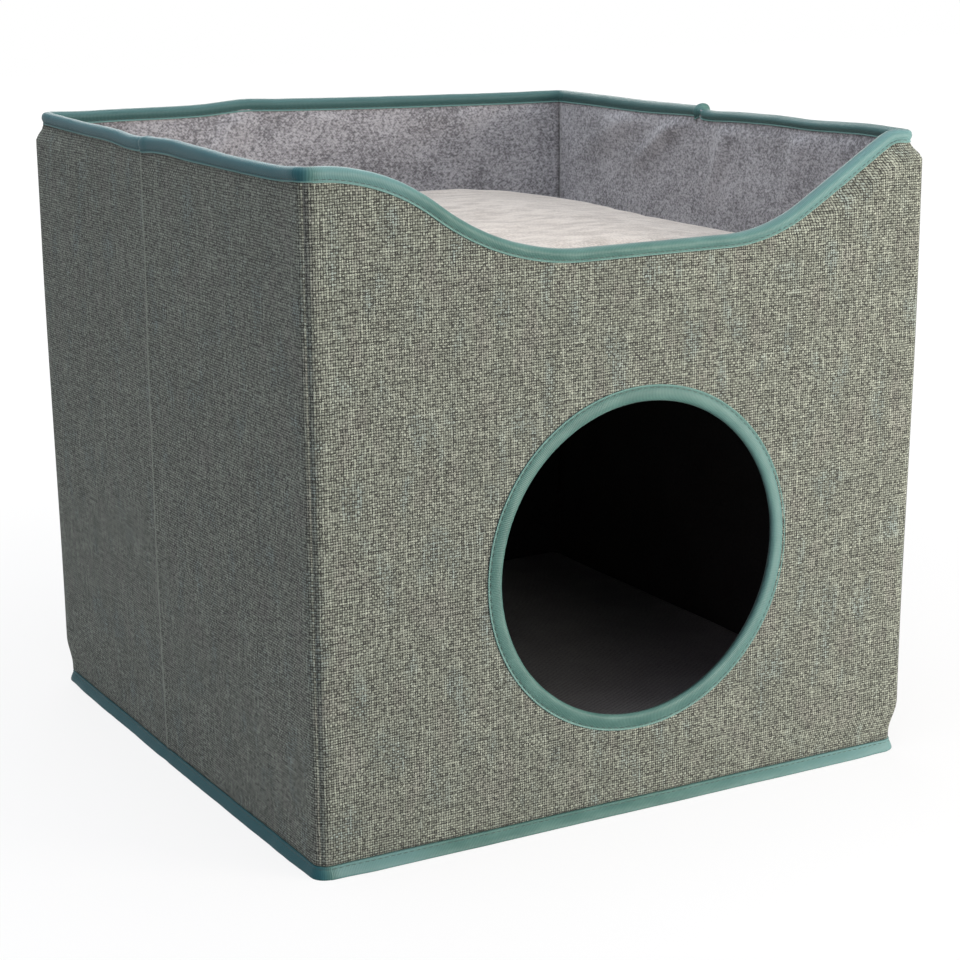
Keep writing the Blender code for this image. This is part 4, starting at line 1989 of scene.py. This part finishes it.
class Shelf:
    """The felt and the ceiling cloth of the shelf, and the grip tapes that hold it up."""

    def felt(self) -> None:
        """Makes the felt over the top and the edges of the shelf board."""
        low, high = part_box("shelf_felt")
        bm = bmesh.new()
        size = Matrix.Diagonal((high.x, high.y, 1.0, 1.0))
        bmesh.ops.create_grid(bm, x_segments=24, y_segments=24, size=1.0, matrix=size)
        bmesh.ops.translate(bm, verts=bm.verts[:], vec=(0.0, 0.0, high.z))
        border = [e for e in bm.edges if e.is_boundary]
        turned = bmesh.ops.extrude_edge_only(bm, edges=border)
        down = [v for v in turned["geom"] if isinstance(v, bmesh.types.BMVert)]
        bmesh.ops.translate(bm, verts=down, vec=(0.0, 0.0, low.z - high.z))
        bmesh.ops.bevel(bm, geom=border, offset=0.0012, affect="EDGES", segments=3, profile=0.5, material=-1)
        unfold(bm, lambda co: (co.x + 1.0, co.y + co.z + 1.0))
        face_up(bm)
        obj = Piece("bed_felt", Body.SHELF, Finish.FELT, "shelf_felt", thickness=0.0015).make(bm)

    def ceiling(self) -> None:
        """Makes the cloth under the shelf board."""
        low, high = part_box("shelf_lining")
        span = high - low

        def place(a: float, b: float) -> Vector:
            """Finds a point of the cloth, which hangs a little between its edges.

            Args:
                a: The share of the way to the right.
                b: The share of the way to the back.

            Returns:
                The point.
            """
            x = low.x + a * span.x
            y = low.y + b * span.y
            calm = ease(0.0, 0.03, high.x - abs(x)) * ease(0.0, 0.03, high.y - abs(y))
            return Vector((x, y, low.z - 0.0006 * calm * (1.0 + ripple(x, y, 33.0, 0.06))))

        def flat(a: float, b: float) -> tuple[float, float]:
            """The UV of a point of the cloth."""
            return a * span.x + 1.0, b * span.y + 1.0

        cells = 56
        bm = mapped(cells, cells, place, flat)
        bmesh.ops.reverse_faces(bm, faces=bm.faces[:])
        obj = Piece("cave_ceiling", Body.SHELF, Finish.LINING, "shelf_lining", thickness=0.0009).make(bm)

    def grips(self, shell: Shell) -> None:
        """Makes the loop tapes on the walls and the hook tapes on the shelf.

        Args:
            shell: The walls, whose bow the loop tapes follow.
        """
        kinds = (("loop", Body.SHELL, Finish.LOOPS), ("hook", Body.SHELF, Finish.HOOKS))
        for side in Side:
            for kind, body, finish in kinds:
                node = f"{side.word}_{kind}_tape"
                low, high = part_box(node)
                bm = soft_block(low, high, radius=0.0005, cuts=14)
                unfold(bm, lambda co: (co.x + co.y + 1.0, co.z + 1.0))
                for vert in bm.verts if body is Body.SHELL else ():
                    co = vert.co
                    vert.co += side.out * shell.bow(side, co.dot(side.along), co.z)
                Piece(f"{side.word}_{kind}_strip", body, finish, node).make(bm)

    def build(self, shell: Shell) -> None:
        """Makes the cloths and the grip tapes.

        Args:
            shell: The walls, whose bow the loop tapes follow.
        """
        self.felt()
        self.ceiling()
        self.grips(shell)


@dataclass(frozen=True)
class Cushion:
    """The plush pad: a filled case blown up by a cloth simulation, then settled into the bed."""

    inset: float = 0.005
    sides: float = 0.030
    radius: float = 0.014
    voxel: float = 0.006
    pressure: float = 4.0
    frames: int = 20
    cap: float = 0.014
    spread: float = 1.09
    back_lift: float = -0.002
    right_sink: float = 0.013
    play: float = 0.004

    def case(self) -> bpy.types.Mesh:
        """The slack case before it is filled, as an even net of faces.

        Returns:
            The mesh.
        """
        low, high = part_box("cushion")
        low = low + Vector((self.inset, self.inset, 0.0))
        high = Vector((high.x - self.inset, high.y - self.inset, low.z + self.sides))
        bm = soft_block(low, high, self.radius, cuts=24)
        for vert in bm.verts:
            u = vert.co.x / high.x
            v = vert.co.y / high.y
            tuck = 0.007 * (u * v) ** 6
            vert.co.x -= math.copysign(tuck, u)
            vert.co.y -= math.copysign(tuck, v)
            middle = max((1.0 - u * u) * (1.0 - v * v), 0.0) ** 0.5
            vert.co.z += 0.004 * middle * ease(low.z, high.z, vert.co.z)
        return as_mesh(bm, "slack_case")

    def filled(self, mesh: bpy.types.Mesh) -> bpy.types.Mesh:
        """Blows the case up.

        Args:
            mesh: The slack case.

        Returns:
            The full case, with no point moved further than the cap.
        """
        obj = linked("filling", mesh)
        remesh = obj.modifiers.new("net", "REMESH")
        remesh.mode = "VOXEL"
        remesh.voxel_size = self.voxel
        graph = bpy.context.evaluated_depsgraph_get()
        net = bpy.data.meshes.new_from_object(obj.evaluated_get(graph))
        obj.modifiers.clear()
        obj.data = net
        rest = [v.co.copy() for v in net.vertices]
        cloth = obj.modifiers.new("cloth", "CLOTH")
        settings = cloth.settings
        settings.quality = 6
        settings.mass = 0.25
        settings.tension_stiffness = settings.compression_stiffness = 12
        settings.shear_stiffness = 4
        settings.bending_stiffness = 0.15
        settings.use_pressure = True
        settings.uniform_pressure_force = self.pressure
        settings.effector_weights.gravity = 0.0
        cloth.point_cache.frame_start = 1
        cloth.point_cache.frame_end = self.frames
        scene = bpy.context.scene
        for step in range(1, self.frames + 1):
            scene.frame_set(step)
        graph = bpy.context.evaluated_depsgraph_get()
        blown = bpy.data.meshes.new_from_object(obj.evaluated_get(graph))
        scene.frame_set(1)
        bpy.data.objects.remove(obj)
        for vert, start in zip(blown.vertices, rest):
            move = vert.co - start
            if move.length > self.cap:
                vert.co = start + move * (self.cap / move.length)
        return blown

    def settle(self, co: Vector, low: Vector, high: Vector) -> Vector:
        """Lays a point of the cushion into the bed.

        Args:
            co: The point.
            low: The lowest corner of the bed that the cushion may fill.
            high: The highest corner.

        Returns:
            The point, on the shelf and clear of the walls.
        """
        x = co.x * self.spread
        y = co.y * self.spread
        top = ease(low.z + 0.006, low.z + self.sides, co.z)
        back = ease(-0.02, high.y, y)
        right = ease(0.04, high.x, x)
        dent = 0.0016 * ripple(x, y, 51.0, 0.06) + 0.0006 * ripple(x, y, 57.0, 0.018)
        z = co.z + top * (self.back_lift * back - self.right_sink * right * (1.0 - back * 0.25) + dent)
        return Vector((held_in(x, low.x, high.x), held_in(y, low.y, high.y), max(z, low.z)))

    def build(self) -> None:
        """Makes the cushion."""
        low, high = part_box("cushion")
        room = Vector((self.play, self.play, 0.0))
        mesh = self.case()
        mesh = self.filled(mesh)
        for vert in mesh.vertices:
            vert.co = self.settle(vert.co, low - room, high + room)
        obj = Piece("plush_cushion", Body.CUSHION, Finish.PLUSH, "cushion").make(mesh)
        soft = obj.modifiers.new("soft", "SUBSURF")
        soft.levels = 1
        soft.render_levels = 1


@dataclass(frozen=True)
class Studio:
    """Camera, lights and floor."""

    yaw: float = math.radians(29.30)
    pitch: float = math.radians(14.03)
    roll: float = math.radians(-0.54)
    distance: float = 1.4688
    aim: tuple[float, float, float] = (0.0139, -0.0478, 0.2075)
    sensor: float = 36.0
    lens: float = 85.79
    pale: Color = (0.80, 0.80, 0.80)
    veil: float = 0.80
    veil_from: float = 0.32
    veil_to: float = 1.10
    glow: float = 1.05
    sky: Color = (0.88, 0.91, 1.0)
    sky_strength: float = 0.17

    def camera(self) -> None:
        """Sets up the camera."""
        ahead = Vector((
            math.sin(self.yaw) * math.cos(self.pitch),
            math.cos(self.yaw) * math.cos(self.pitch),
            -math.sin(self.pitch),
        ))
        right = Vector((math.cos(self.yaw), -math.sin(self.yaw), 0.0))
        up = right.cross(ahead)
        across = right * math.cos(self.roll) + up * math.sin(self.roll)
        upright = up * math.cos(self.roll) - right * math.sin(self.roll)
        data = bpy.data.cameras.new("camera")
        data.sensor_width = self.sensor
        data.lens = self.lens
        obj = linked("camera", data)
        target = across * self.aim[0] + upright * self.aim[1] + Vector((0.0, 0.0, self.aim[2]))
        place = target - ahead * self.distance
        turn = Matrix((across, upright, -ahead)).transposed().to_4x4()
        obj.matrix_world = Matrix.Translation(place) @ turn
        bpy.context.scene.camera = obj

    def lamp(self, name: str, place: Color, power: float, size: float, color: Color) -> None:
        """Adds a square soft lamp that faces the cube.

        Args:
            name: Its name.
            place: Where it stands.
            power: Its power in watts.
            size: The length of its side.
            color: The colour of its light.
        """
        data = bpy.data.lights.new(name, "AREA")
        data.energy = power
        data.size = size
        data.color = color
        obj = linked(name, data)
        obj.location = place
        facing = Vector((0.0, 0.0, 0.2)) - Vector(place)
        obj.rotation_euler = facing.to_track_quat("-Z", "Y").to_euler()

    def world(self) -> None:
        """A soft even light, and white where the camera or a reflection sees it."""
        world = bpy.data.worlds.new("studio")
        bpy.context.scene.world = world
        nodes = Nodes(world, "Background")
        nodes.set("Color", self.sky)
        nodes.set("Strength", self.sky_strength)
        nodes.whiten(nodes.seen(), "Background", 1.0)

    def floor(self) -> None:
        """A pale floor that shows white to the camera but keeps the cube's shadow."""
        bm = bmesh.new()
        bmesh.ops.create_grid(bm, x_segments=1, y_segments=1, size=6.0)
        obj = linked("studio_floor", as_mesh(bm, "studio_floor"))
        g = Graph("pale_floor", 0.9)
        g.set("Base Color", self.pale)
        g.set("Specular IOR Level", 0.0)
        away = g.node("VectorMath", "Value", {0: g.node("TexCoord", "Object", {})}, operation="LENGTH")
        g.whiten(g.seen() * g.step(away, self.veil_from, self.veil_to, self.veil), "Emission", self.glow)
        obj.data.materials.append(g.material)

    def build(self) -> None:
        """Sets up the whole studio."""
        bpy.context.scene.view_settings.view_transform = "Standard"
        self.camera()
        self.world()
        self.floor()
        self.lamp("side", (0.95, -1.25, 0.35), 25.0, 0.7, (1.0, 0.89, 0.79))
        self.lamp("over", (-0.15, -0.10, 1.35), 12.7, 1.0, (0.90, 0.95, 1.0))
        self.lamp("front", (0.35, -2.10, 0.95), 7.2, 1.2, (1.0, 0.96, 0.93))
        self.lamp("left", (-1.30, -0.90, 1.10), 2.0, 1.0, (0.97, 0.80, 1.0))
        self.lamp("rear", (0.70, 1.90, 0.90), 14.0, 1.2, (1.0, 0.98, 0.96))


def dress_boards() -> None:
    """Gives the loose boards, whose CAD shape is right, their finish."""
    for name in ("floor_board", "shelf_board"):
        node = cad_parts[name]
        node.data.materials.clear()
        node.data.materials.append(Finish.BOARD.material())
        LOG.info("%s: CAD node with its board finish", name)


def main() -> None:
    """Builds every piece in order."""
    logging.basicConfig(level=logging.INFO, format="%(message)s")
    Studio().build()
    shell = Shell.from_frame()
    entry = Entry.from_frame(tape_width=0.0092)
    dress_boards()
    for side in Side:
        Wall(shell, entry, side).build()
    Bindings(shell, entry).build()
    BaseCloth(shell).build()
    Floor().build()
    Shelf().build(shell)
    Cushion().build()


if __name__ == "__main__":
    main()
